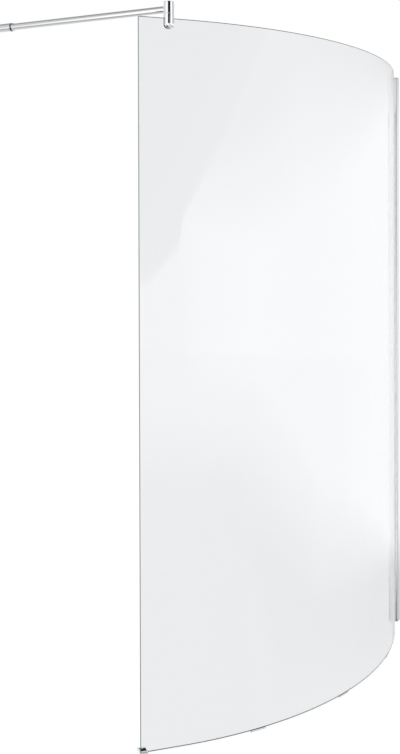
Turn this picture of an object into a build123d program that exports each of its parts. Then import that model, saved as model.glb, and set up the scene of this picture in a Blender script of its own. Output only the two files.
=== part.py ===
from build123d import *
from math import cos, radians, sin
import os

# Walk-in shower screen: a curved sheet of glass with one edge in a telescopic wall
# channel, its free corner in a floor bracket, and its free top edge in a clamp on a
# round stay arm that swivels and runs to the side wall.
# Millimetres. The origin is at floor level in the middle of the wall channel's back face.
# +Y points into the wall behind the channel, +X runs along that wall, +Z is up.

# Glass, seen in plan from the wall outwards: straight, bent, straight
GLASS_HEIGHT = 1995.0
GLASS_THICKNESS = 8.0
GLASS_LIFT = 5.0
GLASS_TOP = GLASS_LIFT + GLASS_HEIGHT
GLASS_ARRIS = 0.8
BEND_RADIUS = 1160.0
BEND_ANGLE = 60.0
WALL_LEAN = 15.0
WALL_STRAIGHT = 95.0
FREE_STRAIGHT = 115.0
FREE_LEAN = WALL_LEAN - BEND_ANGLE

# Wall channel, screwed to the wall
CHANNEL_HEIGHT = 2001.0
CHANNEL_WIDTH = 30.0
CHANNEL_DEPTH = 28.0
CHANNEL_WEB = 2.0
CHANNEL_SCREW_SIDE = 3.0
CHANNEL_PLAIN_SIDE = 1.6
CHANNEL_LIP_ROUND = 0.7
WALL_HOLE_DIAMETER = 5.5
WALL_HOLE_PITCH = 600.0
WALL_HOLE_COUNT = 4
WALL_HOLE_FIRST = 100.0
CAP_THICKNESS = 1.5
CAP_TAB_LENGTH = 16.0
CAP_TAB_THICKNESS = 2.9
CAP_TAB_HALF_WIDTH = 9.0

# Glass channel, which slides in the wall channel
NOSE_DEPTH = 34.0
GLASS_CHANNEL_DEPTH = 22.0
GLASS_CHANNEL_FOOT = 2.0
GLASS_CHANNEL_TOP = CHANNEL_HEIGHT - 0.6
GLASS_CHANNEL_WALL = 1.5
SIDE_CLEARANCE = 0.1
GASKET_THICKNESS = 1.6
GASKET_PROUD = 1.8
BEAD_LENGTH = 1.2
BEAD_SWELL = 0.8
BUFFER_TOP_GAP = 2.0
SLOT_DEPTH = 15.0
GLASS_IN_SLOT = 13.0
PLUG_LENGTH = 12.0
PLUG_CLEARANCE = 0.1

# Lock screws that press on the glass channel, and their snap covers
LOCK_HEIGHTS = (150.0, 1000.0, 1850.0)
LOCK_DEPTH = 23.0
SET_SCREW_DIAMETER = 5.0
TAPPED_CLEARANCE = 0.05
TAPPED_HOLE = SET_SCREW_DIAMETER + 2 * TAPPED_CLEARANCE
SET_SCREW_SOCKET = 2.5
SET_SCREW_CHAMFER = 0.4
LOCK_SCREW_PROUD = 3.0
LOCK_COVER_DIAMETER = 11.0
LOCK_COVER_THICKNESS = 4.6
LOCK_COVER_ROUND = 2.4
LOCK_COVER_HOLLOW = 3.3

# Glazing packers under the bend
PACKER_LENGTH = 50.0
PACKER_WIDTH = 7.0
PACKER_SHARES = (0.2, 0.5, 0.8)

# Floor bracket under the free corner
BRACKET_HEIGHT = 13.0
BRACKET_WIDTH = 35.0
BRACKET_BASE = 4.0
BRACKET_PAST_EDGE = 7.0
BRACKET_UNDER_GLASS = 17.0
BRACKET_ROUND = 1.2
LINER_SIDE = 6.0
LINER_END = 1.5
LINER_SETBACK = 0.5
BRACKET_SCREW_LENGTH = 6.0
BRACKET_SCREW_HEIGHT = 8.8
FLOOR_HOLE_DIAMETER = 4.5
FLOOR_HOLE_SINK = 8.6
FLOOR_SINK_DEPTH = 2.0

# Glass clamp: a fork on the glass and a head that turns on it
CLAMP_INSET = 87.0
CLAMP_DIAMETER = 30.0
CLAMP_FOOT = GLASS_TOP - 29.0
FORK_TOP = GLASS_TOP + 11.0
WASHER_THICKNESS = 1.0
WASHER_DIAMETER = 28.0
HEAD_FOOT = FORK_TOP + WASHER_THICKNESS
CLAMP_TOP = GLASS_TOP + 45.0
DOME_ROUND = 13.0
HEAD_ROUND = 1.5
FORK_SLOT_TOP = GLASS_TOP + 1.0
PAD_THICKNESS = 1.3
PAD_LENGTH = 25.0
PAD_FOOT = CLAMP_FOOT + 5.0
PLATE_THICKNESS = 1.5
PLATE_SETBACK = 1.0
PLATE_CLEARANCE = 0.2
CLAMP_SCREW_LENGTH = 7.0
CLAMP_SCREW_HEIGHTS = (CLAMP_FOOT + 12.0, CLAMP_FOOT + 23.0)
PIVOT_DIAMETER = 6.0
PIVOT_HEAD_DIAMETER = 10.0
PIVOT_HEAD_HEIGHT = 4.0
PIVOT_HEAD_GAP = 0.3
PIVOT_FLOAT = 0.05
PIVOT_TOP = HEAD_FOOT + 7.0

# Stay arm from the clamp to the side wall
ARM_HEIGHT = GLASS_TOP + 24.5
ARM_REACH = 555.0
TUBE_DIAMETER = 20.0
TUBE_BORE = 17.0
TUBE_SOCKET_FLOOR = 5.0
TUBE_WALL_GAP = 14.0
ARM_SCREW_DIAMETER = 5.0
ARM_SCREW_HEAD = 8.5
ARM_SCREW_HEAD_HEIGHT = 5.0
ARM_SCREW_HEAD_GAP = 0.25
KEY_SOCKET = 4.0
KEY_SOCKET_DEPTH = 2.5
ARM_SCREW_LEDGE = 6.0
ARM_SCREW_REACH = 22.0
COVER_SETBACK = 0.3
ARM_PLUG_LENGTH = 22.0
ARM_END_GAP = 0.1
FIT_CLEARANCE = 0.03
RUNNING_CLEARANCE = 0.05

# Wall fitting at the far end of the arm
BOSS_DIAMETER = 21.4
BOSS_DISC = 10.0
SPIGOT_END = 46.0
BOSS_BORE = 5.5
BOSS_COUNTERBORE = 10.0
BOSS_FLOOR = 6.0
BOSS_GRUB_AT = 36.0
BOSS_GRUB_LENGTH = 4.4
BOSS_GRUB_SUNK = 0.6
TUBE_SLOT_SPAN = (21.0, 42.0)
TUBE_SLOT_WIDTH = 5.4

# Cover sleeve over the wall fitting
SLEEVE_DIAMETER = 25.0
SLEEVE_BORE = 22.0
SLEEVE_END = 28.0
COLLAR_END = 37.0
SEAL_END = 42.5
BUSH_END = 48.0
BUSH_DIAMETER = 22.0
BUSH_TAIL = 21.0
BUSH_BORE = TUBE_DIAMETER + 2 * RUNNING_CLEARANCE
SLEEVE_WALL_GAP = 0.2
SLEEVE_RIM = 0.3
COLLAR_SPIGOT = 5.0
SEAL_STEP = 0.4
SEAL_LIP = 0.6

# How far a cutting solid runs past the face that it opens
CUT = 1.0


def outward(lean):
    """Plan direction square to the glass, on its convex side."""
    return Vector(cos(radians(lean)), sin(radians(lean)))


def heading(lean):
    """Plan direction along the glass, away from the wall."""
    return Vector(sin(radians(lean)), -cos(radians(lean)))


# Points of the glass centre line in plan
CAVITY_LEFT = -CHANNEL_WIDTH / 2 + CHANNEL_SCREW_SIDE
CAVITY_RIGHT = CHANNEL_WIDTH / 2 - CHANNEL_PLAIN_SIDE
NOSE_POINT = Vector((CAVITY_LEFT + CAVITY_RIGHT) / 2, -NOSE_DEPTH)
WALL_EDGE = NOSE_POINT - heading(WALL_LEAN) * GLASS_IN_SLOT
BEND_START = NOSE_POINT + heading(WALL_LEAN) * WALL_STRAIGHT
BEND_CENTRE = BEND_START - outward(WALL_LEAN) * BEND_RADIUS
BEND_END = BEND_CENTRE + outward(FREE_LEAN) * BEND_RADIUS
FREE_EDGE = BEND_END + heading(FREE_LEAN) * FREE_STRAIGHT
CLAMP_AXIS = FREE_EDGE - heading(FREE_LEAN) * CLAMP_INSET
SIDE_WALL = CLAMP_AXIS.X - ARM_REACH


def glass_frame(point, lean):
    """Frame at a plan point: X along the glass, Y towards its convex side."""
    return Location(point, (0, 0, lean - 90))


CLAMP_FRAME = glass_frame(CLAMP_AXIS, FREE_LEAN)
BRACKET_FRAME = glass_frame(FREE_EDGE, FREE_LEAN)


def block(x_span, y_span, z_span):
    """A box between the given limits."""
    spans = (x_span, y_span, z_span)
    sizes = [high - low for low, high in spans]
    middle = [(high + low) / 2 for low, high in spans]
    return Pos(*middle) * Box(*sizes)


def rod(start, end, diameter, end_diameter=None):
    """A round bar or a cone between two points."""
    run = Vector(*end) - Vector(*start)
    plane = Plane(origin=start, z_dir=run)
    seat = (Align.CENTER, Align.CENTER, Align.MIN)
    if end_diameter is None:
        return plane * Cylinder(diameter / 2, run.length, align=seat)
    return plane * Cone(diameter / 2, end_diameter / 2, run.length, align=seat)


def hex_socket(start, end, across_flats):
    """The hexagonal space of a key socket between two points."""
    run = Vector(*end) - Vector(*start)
    plane = Plane(origin=start, z_dir=run)
    hexagon = RegularPolygon(across_flats / 2, 6, major_radius=False)
    return extrude(plane * hexagon, run.length)


def set_screw(tip, end):
    """A socket set screw whose key socket opens at its end point."""
    tip, end = Vector(*tip), Vector(*end)
    inward = (tip - end).normalized()
    body = rod(tip, end, SET_SCREW_DIAMETER)
    body = chamfer(body.edges().filter_by(GeomType.CIRCLE), SET_SCREW_CHAMFER)
    return body - hex_socket(end, end + inward * SET_SCREW_SOCKET, SET_SCREW_SOCKET)


def wall_channel():
    """The outer extrusion, with its row of wall holes and its tapped lock holes."""
    half = CHANNEL_WIDTH / 2
    height = (0, CHANNEL_HEIGHT)
    channel = block((-half, half), (-CHANNEL_DEPTH, 0), height)
    lips = channel.edges().filter_by(Axis.Z).group_by(Axis.Y)[0]
    channel = fillet(lips, CHANNEL_LIP_ROUND)
    cavity_depth = (-CHANNEL_DEPTH - CUT, -CHANNEL_WEB)
    channel -= block((CAVITY_LEFT, CAVITY_RIGHT), cavity_depth, (-CUT, CHANNEL_HEIGHT + CUT))
    for index in range(WALL_HOLE_COUNT):
        z = WALL_HOLE_FIRST + index * WALL_HOLE_PITCH
        channel -= rod((0, -CHANNEL_WEB - CUT, z), (0, CUT, z), WALL_HOLE_DIAMETER)
    for z in LOCK_HEIGHTS:
        channel -= rod((-half - CUT, -LOCK_DEPTH, z), (CAVITY_LEFT + CUT, -LOCK_DEPTH, z), TAPPED_HOLE)
    return channel


def channel_top_cap():
    """The end cap: a thin plate with a tab that grips behind the glass channel."""
    half = CHANNEL_WIDTH / 2
    top = CHANNEL_HEIGHT + CAP_THICKNESS
    plate = block((-half, half), (-CHANNEL_DEPTH, 0), (CHANNEL_HEIGHT, top))
    upper = plate.edges().group_by(Axis.Z)[-1]
    plate = fillet(upper, CHANNEL_LIP_ROUND)
    tab_back = -CHANNEL_WEB - PLUG_CLEARANCE
    tab_width = (-CAP_TAB_HALF_WIDTH, CAP_TAB_HALF_WIDTH)
    tab_rise = (CHANNEL_HEIGHT - CAP_TAB_LENGTH, CHANNEL_HEIGHT)
    tab = block(tab_width, (tab_back - CAP_TAB_THICKNESS, tab_back), tab_rise)
    return plate + tab


def channel_lock_screws():
    """Set screws through the thick side of the wall channel."""
    tip = CAVITY_LEFT - TAPPED_CLEARANCE
    end = -CHANNEL_WIDTH / 2 - LOCK_SCREW_PROUD
    return [set_screw((tip, -LOCK_DEPTH, z), (end, -LOCK_DEPTH, z)) for z in LOCK_HEIGHTS]


def lock_screw_cover(z):
    """A domed cover that snaps over one lock screw."""
    side = -CHANNEL_WIDTH / 2
    outer = side - LOCK_COVER_THICKNESS
    cover = rod((side, -LOCK_DEPTH, z), (outer, -LOCK_DEPTH, z), LOCK_COVER_DIAMETER)
    rim = cover.edges().filter_by(GeomType.CIRCLE).sort_by(Axis.X)[0]
    cover = fillet(rim, LOCK_COVER_ROUND)
    hollow_end = side - LOCK_COVER_HOLLOW
    return cover - rod((side + CUT, -LOCK_DEPTH, z), (hollow_end, -LOCK_DEPTH, z), TAPPED_HOLE)


def slot_face(growth):
    """The inclined glass slot in plan, grown by a wall thickness."""
    width = GLASS_THICKNESS + 2 * GASKET_THICKNESS + 2 * growth
    depth = SLOT_DEPTH + growth
    past_nose = GLASS_CHANNEL_DEPTH / 2
    seat = (Align.CENTER, Align.MAX)
    bottom = NOSE_POINT - heading(WALL_LEAN) * depth
    return Location(bottom, (0, 0, WALL_LEAN)) * Rectangle(width, depth + past_nose, align=seat)


def channel_outline(inset):
    """The outer rectangle of the glass channel in plan, drawn in by an inset."""
    width = CAVITY_RIGHT - CAVITY_LEFT - 2 * SIDE_CLEARANCE - 2 * inset
    middle = Vector(NOSE_POINT.X, -NOSE_DEPTH + GLASS_CHANNEL_DEPTH / 2)
    return Location(middle) * Rectangle(width, GLASS_CHANNEL_DEPTH - 2 * inset)


def channel_chambers(gap):
    """The hollow chambers beside the glass slot, drawn in by a gap."""
    rib_x = NOSE_POINT.X - SLOT_DEPTH * sin(radians(WALL_LEAN))
    rib = Location(Vector(rib_x, -NOSE_DEPTH + GLASS_CHANNEL_DEPTH)) * Rectangle(
        GLASS_CHANNEL_WALL + 2 * gap, GLASS_CHANNEL_DEPTH)
    return channel_outline(GLASS_CHANNEL_WALL + gap) - slot_face(GLASS_CHANNEL_WALL + gap) - rib


def glass_channel():
    """The hollow inner extrusion with the inclined slot that takes the glass."""
    section = channel_outline(0) - slot_face(0) - channel_chambers(0)
    height = GLASS_CHANNEL_TOP - GLASS_CHANNEL_FOOT
    return Pos(0, 0, GLASS_CHANNEL_FOOT) * extrude(section, height)


def glass_channel_plugs():
    """Plugs that close the chambers at the top and at the foot."""
    feet = (GLASS_CHANNEL_FOOT, GLASS_CHANNEL_TOP - PLUG_LENGTH)
    faces = channel_chambers(PLUG_CLEARANCE).faces()
    return [Pos(0, 0, z) * extrude(face, PLUG_LENGTH) for z in feet for face in faces]


def slot_strip(side_span, depth_span, z_span):
    """A strip in the slot's own frame: across the glass, then out from the slot's floor."""
    floor = NOSE_POINT - heading(WALL_LEAN) * SLOT_DEPTH
    frame = glass_frame(floor, WALL_LEAN)
    return frame * block(depth_span, side_span, z_span)


def gasket(side):
    """The seal on one face of the glass, with a bead that shows in front of the channel."""
    inner = GLASS_THICKNESS / 2
    outer = inner + GASKET_THICKNESS
    z_span = (GLASS_CHANNEL_FOOT, GLASS_CHANNEL_TOP)
    blade = sorted((side * inner, side * outer))
    bead = sorted((side * inner, side * (outer + BEAD_SWELL)))
    front = SLOT_DEPTH + GASKET_PROUD
    strip = slot_strip(blade, (SLOT_DEPTH - GLASS_IN_SLOT, front), z_span)
    return strip + slot_strip(bead, (front, front + BEAD_LENGTH), z_span)


def edge_buffer():
    """The soft strip between the slot's floor and the edge of the glass."""
    half = GLASS_THICKNESS / 2
    z_span = (GLASS_CHANNEL_FOOT, GLASS_CHANNEL_TOP - BUFFER_TOP_GAP)
    return slot_strip((-half, half), (0, SLOT_DEPTH - GLASS_IN_SLOT), z_span)


def glass_side(offset):
    """Plan lines of one face of the glass, from the channel to the free edge."""
    wall_step = outward(WALL_LEAN) * offset
    free_step = outward(FREE_LEAN) * offset
    middle = BEND_CENTRE + outward(WALL_LEAN - BEND_ANGLE / 2) * (BEND_RADIUS + offset)
    return [
        Line(WALL_EDGE + wall_step, BEND_START + wall_step),
        ThreePointArc(BEND_START + wall_step, middle, BEND_END + free_step),
        Line(BEND_END + free_step, FREE_EDGE + free_step),
    ]


def glass_panel():
    """The bent sheet with its edges arrised."""
    half = GLASS_THICKNESS / 2
    convex, concave = glass_side(half), glass_side(-half)
    ends = [
        Line(convex[0] @ 0, concave[0] @ 0),
        Line(convex[2] @ 1, concave[2] @ 1),
    ]
    section = make_face(Curve() + convex + concave + ends)
    sheet = Pos(0, 0, GLASS_LIFT) * extrude(section, GLASS_HEIGHT)
    uprights = sheet.edges().filter_by(Axis.Z)
    corners = [
        edge for edge in uprights
        if min(plan_distance(edge, WALL_EDGE), plan_distance(edge, FREE_EDGE)) < GLASS_THICKNESS
    ]
    levels = sheet.edges().group_by(Axis.Z)
    return chamfer(ShapeList(corners) + levels[0] + levels[-1], GLASS_ARRIS)


def plan_distance(edge, point):
    """Distance in plan from the middle of an edge to a point."""
    middle = edge.center()
    return (Vector(middle.X, middle.Y) - point).length


def glass_packers():
    """Clear setting blocks along the bend."""
    half_length, half_width = PACKER_LENGTH / 2, PACKER_WIDTH / 2
    blocks = []
    for share in PACKER_SHARES:
        lean = WALL_LEAN - share * BEND_ANGLE
        point = BEND_CENTRE + outward(lean) * BEND_RADIUS
        packer = block((-half_length, half_length), (-half_width, half_width), (0, GLASS_LIFT))
        blocks.append(glass_frame(point, lean) * packer)
    return blocks


def bracket_slot(clearance):
    """Limits of the bracket's slot in the bracket's frame, along and across the glass."""
    half = GLASS_THICKNESS / 2 + clearance
    return (-BRACKET_UNDER_GLASS - CUT, LINER_END), (-half, half)


def floor_bracket():
    """The slotted block on the floor, closed past the free edge of the glass."""
    half = BRACKET_WIDTH / 2
    body = block((-BRACKET_UNDER_GLASS, BRACKET_PAST_EDGE), (-half, half), (0, BRACKET_HEIGHT))
    outer = body.edges().filter_by(Axis.Z) + body.edges().group_by(Axis.Z)[-1]
    body = fillet(outer, BRACKET_ROUND)
    slot_length, slot_width = bracket_slot(LINER_SIDE)
    body -= block(slot_length, slot_width, (BRACKET_BASE, BRACKET_HEIGHT + CUT))
    x = floor_hole_x()
    body -= rod((x, 0, -CUT), (x, 0, BRACKET_BASE + CUT), FLOOR_HOLE_DIAMETER)
    sink_foot = BRACKET_BASE - FLOOR_SINK_DEPTH
    body -= rod((x, 0, sink_foot), (x, 0, BRACKET_BASE), FLOOR_HOLE_DIAMETER, FLOOR_HOLE_SINK)
    z = BRACKET_SCREW_HEIGHT
    body -= rod((x, -half - CUT, z), (x, 0, z), TAPPED_HOLE)
    return BRACKET_FRAME * body


def floor_hole_x():
    """Place of the floor hole along the bracket."""
    return (LINER_END - BRACKET_UNDER_GLASS) / 2


def floor_bracket_liner():
    """The rubber block in the bracket that holds the glass."""
    half = GLASS_THICKNESS / 2
    width = (-half - LINER_SIDE, half + LINER_SIDE)
    length = (-BRACKET_UNDER_GLASS + LINER_SETBACK, LINER_END)
    outer = block(length, width, (BRACKET_BASE, BRACKET_HEIGHT - LINER_SETBACK))
    glass_space = block((-BRACKET_UNDER_GLASS - CUT, 0), (-half, half), (GLASS_LIFT, BRACKET_HEIGHT + CUT))
    x = floor_hole_x()
    screw_space = rod((x, 0, BRACKET_BASE - CUT), (x, 0, GLASS_LIFT + CUT), FLOOR_HOLE_SINK)
    return BRACKET_FRAME * (outer - glass_space - screw_space)


def floor_bracket_screw():
    """The set screw that presses the liner on the glass, from inside the shower."""
    x, z = floor_hole_x(), BRACKET_SCREW_HEIGHT
    tip = -GLASS_THICKNESS / 2 - LINER_SIDE
    return BRACKET_FRAME * set_screw((x, tip, z), (x, tip - BRACKET_SCREW_LENGTH, z))


def clamp_fork():
    """The lower half of the clamp: a domed cylinder slotted for the glass."""
    fork = rod((0, 0, CLAMP_FOOT), (0, 0, FORK_TOP), CLAMP_DIAMETER)
    circles = fork.edges().filter_by(GeomType.CIRCLE).sort_by(Axis.Z)
    fork = fillet(circles[0], DOME_ROUND)
    outer_face = GLASS_THICKNESS / 2 + PAD_THICKNESS
    inner_face = outer_face + PLATE_THICKNESS + PLATE_CLEARANCE
    slot_rise = (CLAMP_FOOT - CUT, FORK_SLOT_TOP)
    fork -= block((-CLAMP_DIAMETER, CLAMP_DIAMETER), (-inner_face, outer_face), slot_rise)
    ledge = pivot_ledge()
    fork -= rod((0, 0, FORK_SLOT_TOP - CUT), (0, 0, ledge), PIVOT_HEAD_DIAMETER + 2 * PIVOT_HEAD_GAP)
    fork -= rod((0, 0, ledge), (0, 0, FORK_TOP + CUT), PIVOT_DIAMETER + 2 * RUNNING_CLEARANCE)
    for z in CLAMP_SCREW_HEIGHTS:
        fork -= rod((0, -CLAMP_DIAMETER, z), (0, -inner_face + CUT, z), TAPPED_HOLE)
    return CLAMP_FRAME * fork


def pivot_ledge():
    """Height of the ledge that the pivot screw's head bears on."""
    return FORK_SLOT_TOP + PIVOT_HEAD_HEIGHT + PIVOT_HEAD_GAP


def clamp_pivot_screw():
    """The shoulder screw that holds the head down on the fork and lets it turn."""
    top_of_head = pivot_ledge() - PIVOT_FLOAT
    foot = top_of_head - PIVOT_HEAD_HEIGHT
    screw = rod((0, 0, foot), (0, 0, top_of_head), PIVOT_HEAD_DIAMETER)
    screw += rod((0, 0, top_of_head), (0, 0, PIVOT_TOP), PIVOT_DIAMETER)
    return CLAMP_FRAME * (screw - hex_socket((0, 0, foot), (0, 0, foot + KEY_SOCKET_DEPTH), KEY_SOCKET))


def clamp_thrust_washer():
    """The plastic washer in the joint between the fork and the head."""
    washer = rod((0, 0, FORK_TOP + FIT_CLEARANCE), (0, 0, HEAD_FOOT), WASHER_DIAMETER)
    bore = PIVOT_DIAMETER + 2 * RUNNING_CLEARANCE
    return CLAMP_FRAME * (washer - rod((0, 0, FORK_TOP), (0, 0, HEAD_FOOT + CUT), bore))


def clamp_pad(y_span):
    """One soft pad between the fork and the glass."""
    half = PAD_LENGTH / 2
    return CLAMP_FRAME * block((-half, half), y_span, (PAD_FOOT, GLASS_TOP))


def clamp_pressure_plate():
    """The thin plate that spreads the force of the clamp screws."""
    half = PAD_LENGTH / 2
    face = -GLASS_THICKNESS / 2 - PAD_THICKNESS
    rise = (PAD_FOOT + PLATE_SETBACK, GLASS_TOP - PLATE_SETBACK)
    return CLAMP_FRAME * block((-half, half), (face - PLATE_THICKNESS, face), rise)


def clamp_screws():
    """The two set screws in the inner jaw."""
    tip = -GLASS_THICKNESS / 2 - PAD_THICKNESS - PLATE_THICKNESS
    end = tip - CLAMP_SCREW_LENGTH
    return [CLAMP_FRAME * set_screw((0, tip, z), (0, end, z)) for z in CLAMP_SCREW_HEIGHTS]


def along_arm(distance):
    """A point on the arm's axis, measured from the clamp's axis towards the side wall."""
    return Vector(CLAMP_AXIS.X - distance, CLAMP_AXIS.Y, ARM_HEIGHT)


def from_side_wall(distance):
    """A point on the arm's axis, measured from the side wall."""
    return Vector(SIDE_WALL + distance, CLAMP_AXIS.Y, ARM_HEIGHT)


def clamp_head():
    """The upper half of the clamp, which holds the end of the arm."""
    axis = (CLAMP_AXIS.X, CLAMP_AXIS.Y)
    head = rod((*axis, HEAD_FOOT), (*axis, CLAMP_TOP), CLAMP_DIAMETER)
    circles = head.edges().filter_by(GeomType.CIRCLE).sort_by(Axis.Z)
    head = fillet(circles[-1], HEAD_ROUND)
    near, far = along_arm(-CLAMP_DIAMETER), along_arm(CLAMP_DIAMETER)
    head -= rod(along_arm(TUBE_SOCKET_FLOOR), far, TUBE_DIAMETER + 2 * FIT_CLEARANCE)
    head -= rod(near, along_arm(-ARM_SCREW_LEDGE), ARM_SCREW_HEAD + 2 * ARM_SCREW_HEAD_GAP)
    head -= rod(near, far, ARM_SCREW_DIAMETER + 2 * RUNNING_CLEARANCE)
    pivot_hole = PIVOT_DIAMETER + 2 * TAPPED_CLEARANCE
    return head - rod((*axis, HEAD_FOOT - CUT), (*axis, PIVOT_TOP + PIVOT_HEAD_GAP), pivot_hole)


def arm_screw():
    """The cap screw through the head that pulls the arm into its socket."""
    head_end = -ARM_SCREW_LEDGE - ARM_SCREW_HEAD_HEIGHT
    screw = rod(along_arm(head_end), along_arm(-ARM_SCREW_LEDGE), ARM_SCREW_HEAD)
    screw += rod(along_arm(-ARM_SCREW_LEDGE), along_arm(ARM_SCREW_REACH), ARM_SCREW_DIAMETER)
    return screw - hex_socket(along_arm(head_end), along_arm(head_end + KEY_SOCKET_DEPTH), KEY_SOCKET)


def arm_screw_cover():
    """The cap over the arm screw, flush with the outside of the clamp head."""
    foot = along_arm(-ARM_SCREW_LEDGE - ARM_SCREW_HEAD_HEIGHT - COVER_SETBACK)
    cover = rod(foot, along_arm(-CLAMP_DIAMETER), ARM_SCREW_HEAD + 2 * (ARM_SCREW_HEAD_GAP - FIT_CLEARANCE))
    axis = (CLAMP_AXIS.X, CLAMP_AXIS.Y)
    return cover & rod((*axis, HEAD_FOOT), (*axis, CLAMP_TOP), CLAMP_DIAMETER)


def arm_end_plug():
    """The threaded plug fixed in the clamp end of the arm."""
    start = TUBE_SOCKET_FLOOR + ARM_END_GAP
    end = start + ARM_PLUG_LENGTH
    plug = rod(along_arm(start), along_arm(end), TUBE_BORE - 2 * FIT_CLEARANCE)
    thread = ARM_SCREW_DIAMETER + 2 * TAPPED_CLEARANCE
    return plug - rod(along_arm(start - CUT), along_arm(end + CUT), thread)


def arm_tube():
    """The round tube, slotted underneath at the wall end for the locking screw."""
    start, end = along_arm(TUBE_SOCKET_FLOOR + ARM_END_GAP), from_side_wall(TUBE_WALL_GAP)
    tube = rod(start, end, TUBE_DIAMETER)
    tube -= rod(along_arm(0), from_side_wall(0), TUBE_BORE)
    near, far = (from_side_wall(distance).X for distance in TUBE_SLOT_SPAN)
    half = TUBE_SLOT_WIDTH / 2
    depth = (ARM_HEIGHT - TUBE_DIAMETER, ARM_HEIGHT)
    tube -= block((near + half, far - half), (CLAMP_AXIS.Y - half, CLAMP_AXIS.Y + half), depth)
    for x in (near + half, far - half):
        tube -= rod((x, CLAMP_AXIS.Y, depth[0]), (x, CLAMP_AXIS.Y, depth[1]), TUBE_SLOT_WIDTH)
    return tube


def wall_boss():
    """The disc on the side wall with the spigot that the tube slides on."""
    boss = rod(from_side_wall(0), from_side_wall(BOSS_DISC), BOSS_DIAMETER)
    boss += rod(from_side_wall(BOSS_DISC), from_side_wall(SPIGOT_END), TUBE_BORE - 2 * FIT_CLEARANCE)
    boss -= rod(from_side_wall(-CUT), from_side_wall(SPIGOT_END + CUT), BOSS_BORE)
    boss -= rod(from_side_wall(BOSS_FLOOR), from_side_wall(SPIGOT_END + CUT), BOSS_COUNTERBORE)
    grub = from_side_wall(BOSS_GRUB_AT)
    return boss - rod(grub, (grub.X, grub.Y, grub.Z - TUBE_DIAMETER), TAPPED_HOLE)


def boss_grub_screw():
    """The set screw that locks the tube on the spigot."""
    axis = from_side_wall(BOSS_GRUB_AT)
    outer = TUBE_DIAMETER / 2 - BOSS_GRUB_SUNK
    inner = outer - BOSS_GRUB_LENGTH
    return set_screw((axis.X, axis.Y, axis.Z - inner), (axis.X, axis.Y, axis.Z - outer))


def ring(near, far, outer, bore, far_outer=None):
    """A ring on the arm's axis between two distances from the side wall."""
    body = rod(from_side_wall(near), from_side_wall(far), outer, far_outer)
    return body - rod(from_side_wall(near - CUT), from_side_wall(far + CUT), bore)


def wall_sleeve():
    """The plain tube that hides the wall fitting."""
    sleeve = ring(SLEEVE_WALL_GAP, SLEEVE_END, SLEEVE_DIAMETER, SLEEVE_BORE)
    rims = sleeve.edges().filter_by(GeomType.CIRCLE).group_by(SortBy.RADIUS)[-1]
    return chamfer(rims, SLEEVE_RIM)


def sleeve_collar():
    """The screwed collar on the front of the sleeve."""
    bore = BUSH_TAIL + 2 * RUNNING_CLEARANCE
    collar = ring(SLEEVE_END, COLLAR_END, SLEEVE_DIAMETER, bore)
    rims = collar.edges().filter_by(GeomType.CIRCLE).group_by(SortBy.RADIUS)[-1]
    collar = chamfer(rims, SLEEVE_RIM)
    spigot_start = SLEEVE_END - COLLAR_SPIGOT
    return collar + ring(spigot_start, SLEEVE_END, SLEEVE_BORE - 2 * RUNNING_CLEARANCE, bore)


def sleeve_seal():
    """The tapered rubber ring in front of the collar."""
    bore = BUSH_TAIL + 2 * RUNNING_CLEARANCE
    return ring(COLLAR_END, SEAL_END, SLEEVE_DIAMETER - SEAL_STEP, bore, BUSH_DIAMETER + SEAL_LIP)


def sleeve_bush():
    """The bearing ring that centres the sleeve on the tube."""
    head = ring(SEAL_END, BUSH_END, BUSH_DIAMETER, BUSH_BORE)
    return head + ring(SLEEVE_END - COLLAR_SPIGOT, SEAL_END, BUSH_TAIL, BUSH_BORE)


def clamp_pad_spans():
    """Limits of the outer and inner pads across the glass."""
    half = GLASS_THICKNESS / 2
    return (half, half + PAD_THICKNESS), (-half - PAD_THICKNESS, -half)


OUTER_PAD, INNER_PAD = clamp_pad_spans()

NODES = {
    "wall_channel": wall_channel(),
    "channel_top_cap": channel_top_cap(),
    "channel_lock_screws": channel_lock_screws(),
    "lock_screw_covers": [lock_screw_cover(z) for z in LOCK_HEIGHTS],
    "glass_channel": glass_channel(),
    "glass_channel_plugs": glass_channel_plugs(),
    "gasket_outer": gasket(1),
    "gasket_inner": gasket(-1),
    "edge_buffer": edge_buffer(),
    "glass_panel": glass_panel(),
    "glass_packers": glass_packers(),
    "floor_bracket": floor_bracket(),
    "floor_bracket_liner": floor_bracket_liner(),
    "floor_bracket_screw": floor_bracket_screw(),
    "clamp_fork": clamp_fork(),
    "clamp_pad_outer": clamp_pad(OUTER_PAD),
    "clamp_pad_inner": clamp_pad(INNER_PAD),
    "clamp_pressure_plate": clamp_pressure_plate(),
    "clamp_screws": clamp_screws(),
    "clamp_thrust_washer": clamp_thrust_washer(),
    "clamp_pivot_screw": clamp_pivot_screw(),
    "clamp_head": clamp_head(),
    "arm_screw": arm_screw(),
    "arm_screw_cover": arm_screw_cover(),
    "arm_end_plug": arm_end_plug(),
    "arm_tube": arm_tube(),
    "wall_boss": wall_boss(),
    "boss_grub_screw": boss_grub_screw(),
    "wall_sleeve": wall_sleeve(),
    "sleeve_collar": sleeve_collar(),
    "sleeve_seal": sleeve_seal(),
    "sleeve_bush": sleeve_bush(),
}


def solids_of(shape):
    """The separate solids of one node."""
    shapes = shape if isinstance(shape, list) else [shape]
    return [solid for item in shapes for solid in item.solids()]


os.makedirs("parts", exist_ok=True)
for name, shape in NODES.items():
    export_step(Compound(solids_of(shape)), f"parts/{name}.step")
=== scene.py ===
"""Looks of a curved walk-in shower screen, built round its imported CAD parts.

Everything is in metres, in the frame of the CAD parts: the origin is at floor level in the
middle of the wall channel's back face, +Y points into that wall and +Z is up. In plan the
glass leans by an angle from +X: that angle is the direction square to its convex side.
"""

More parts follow.
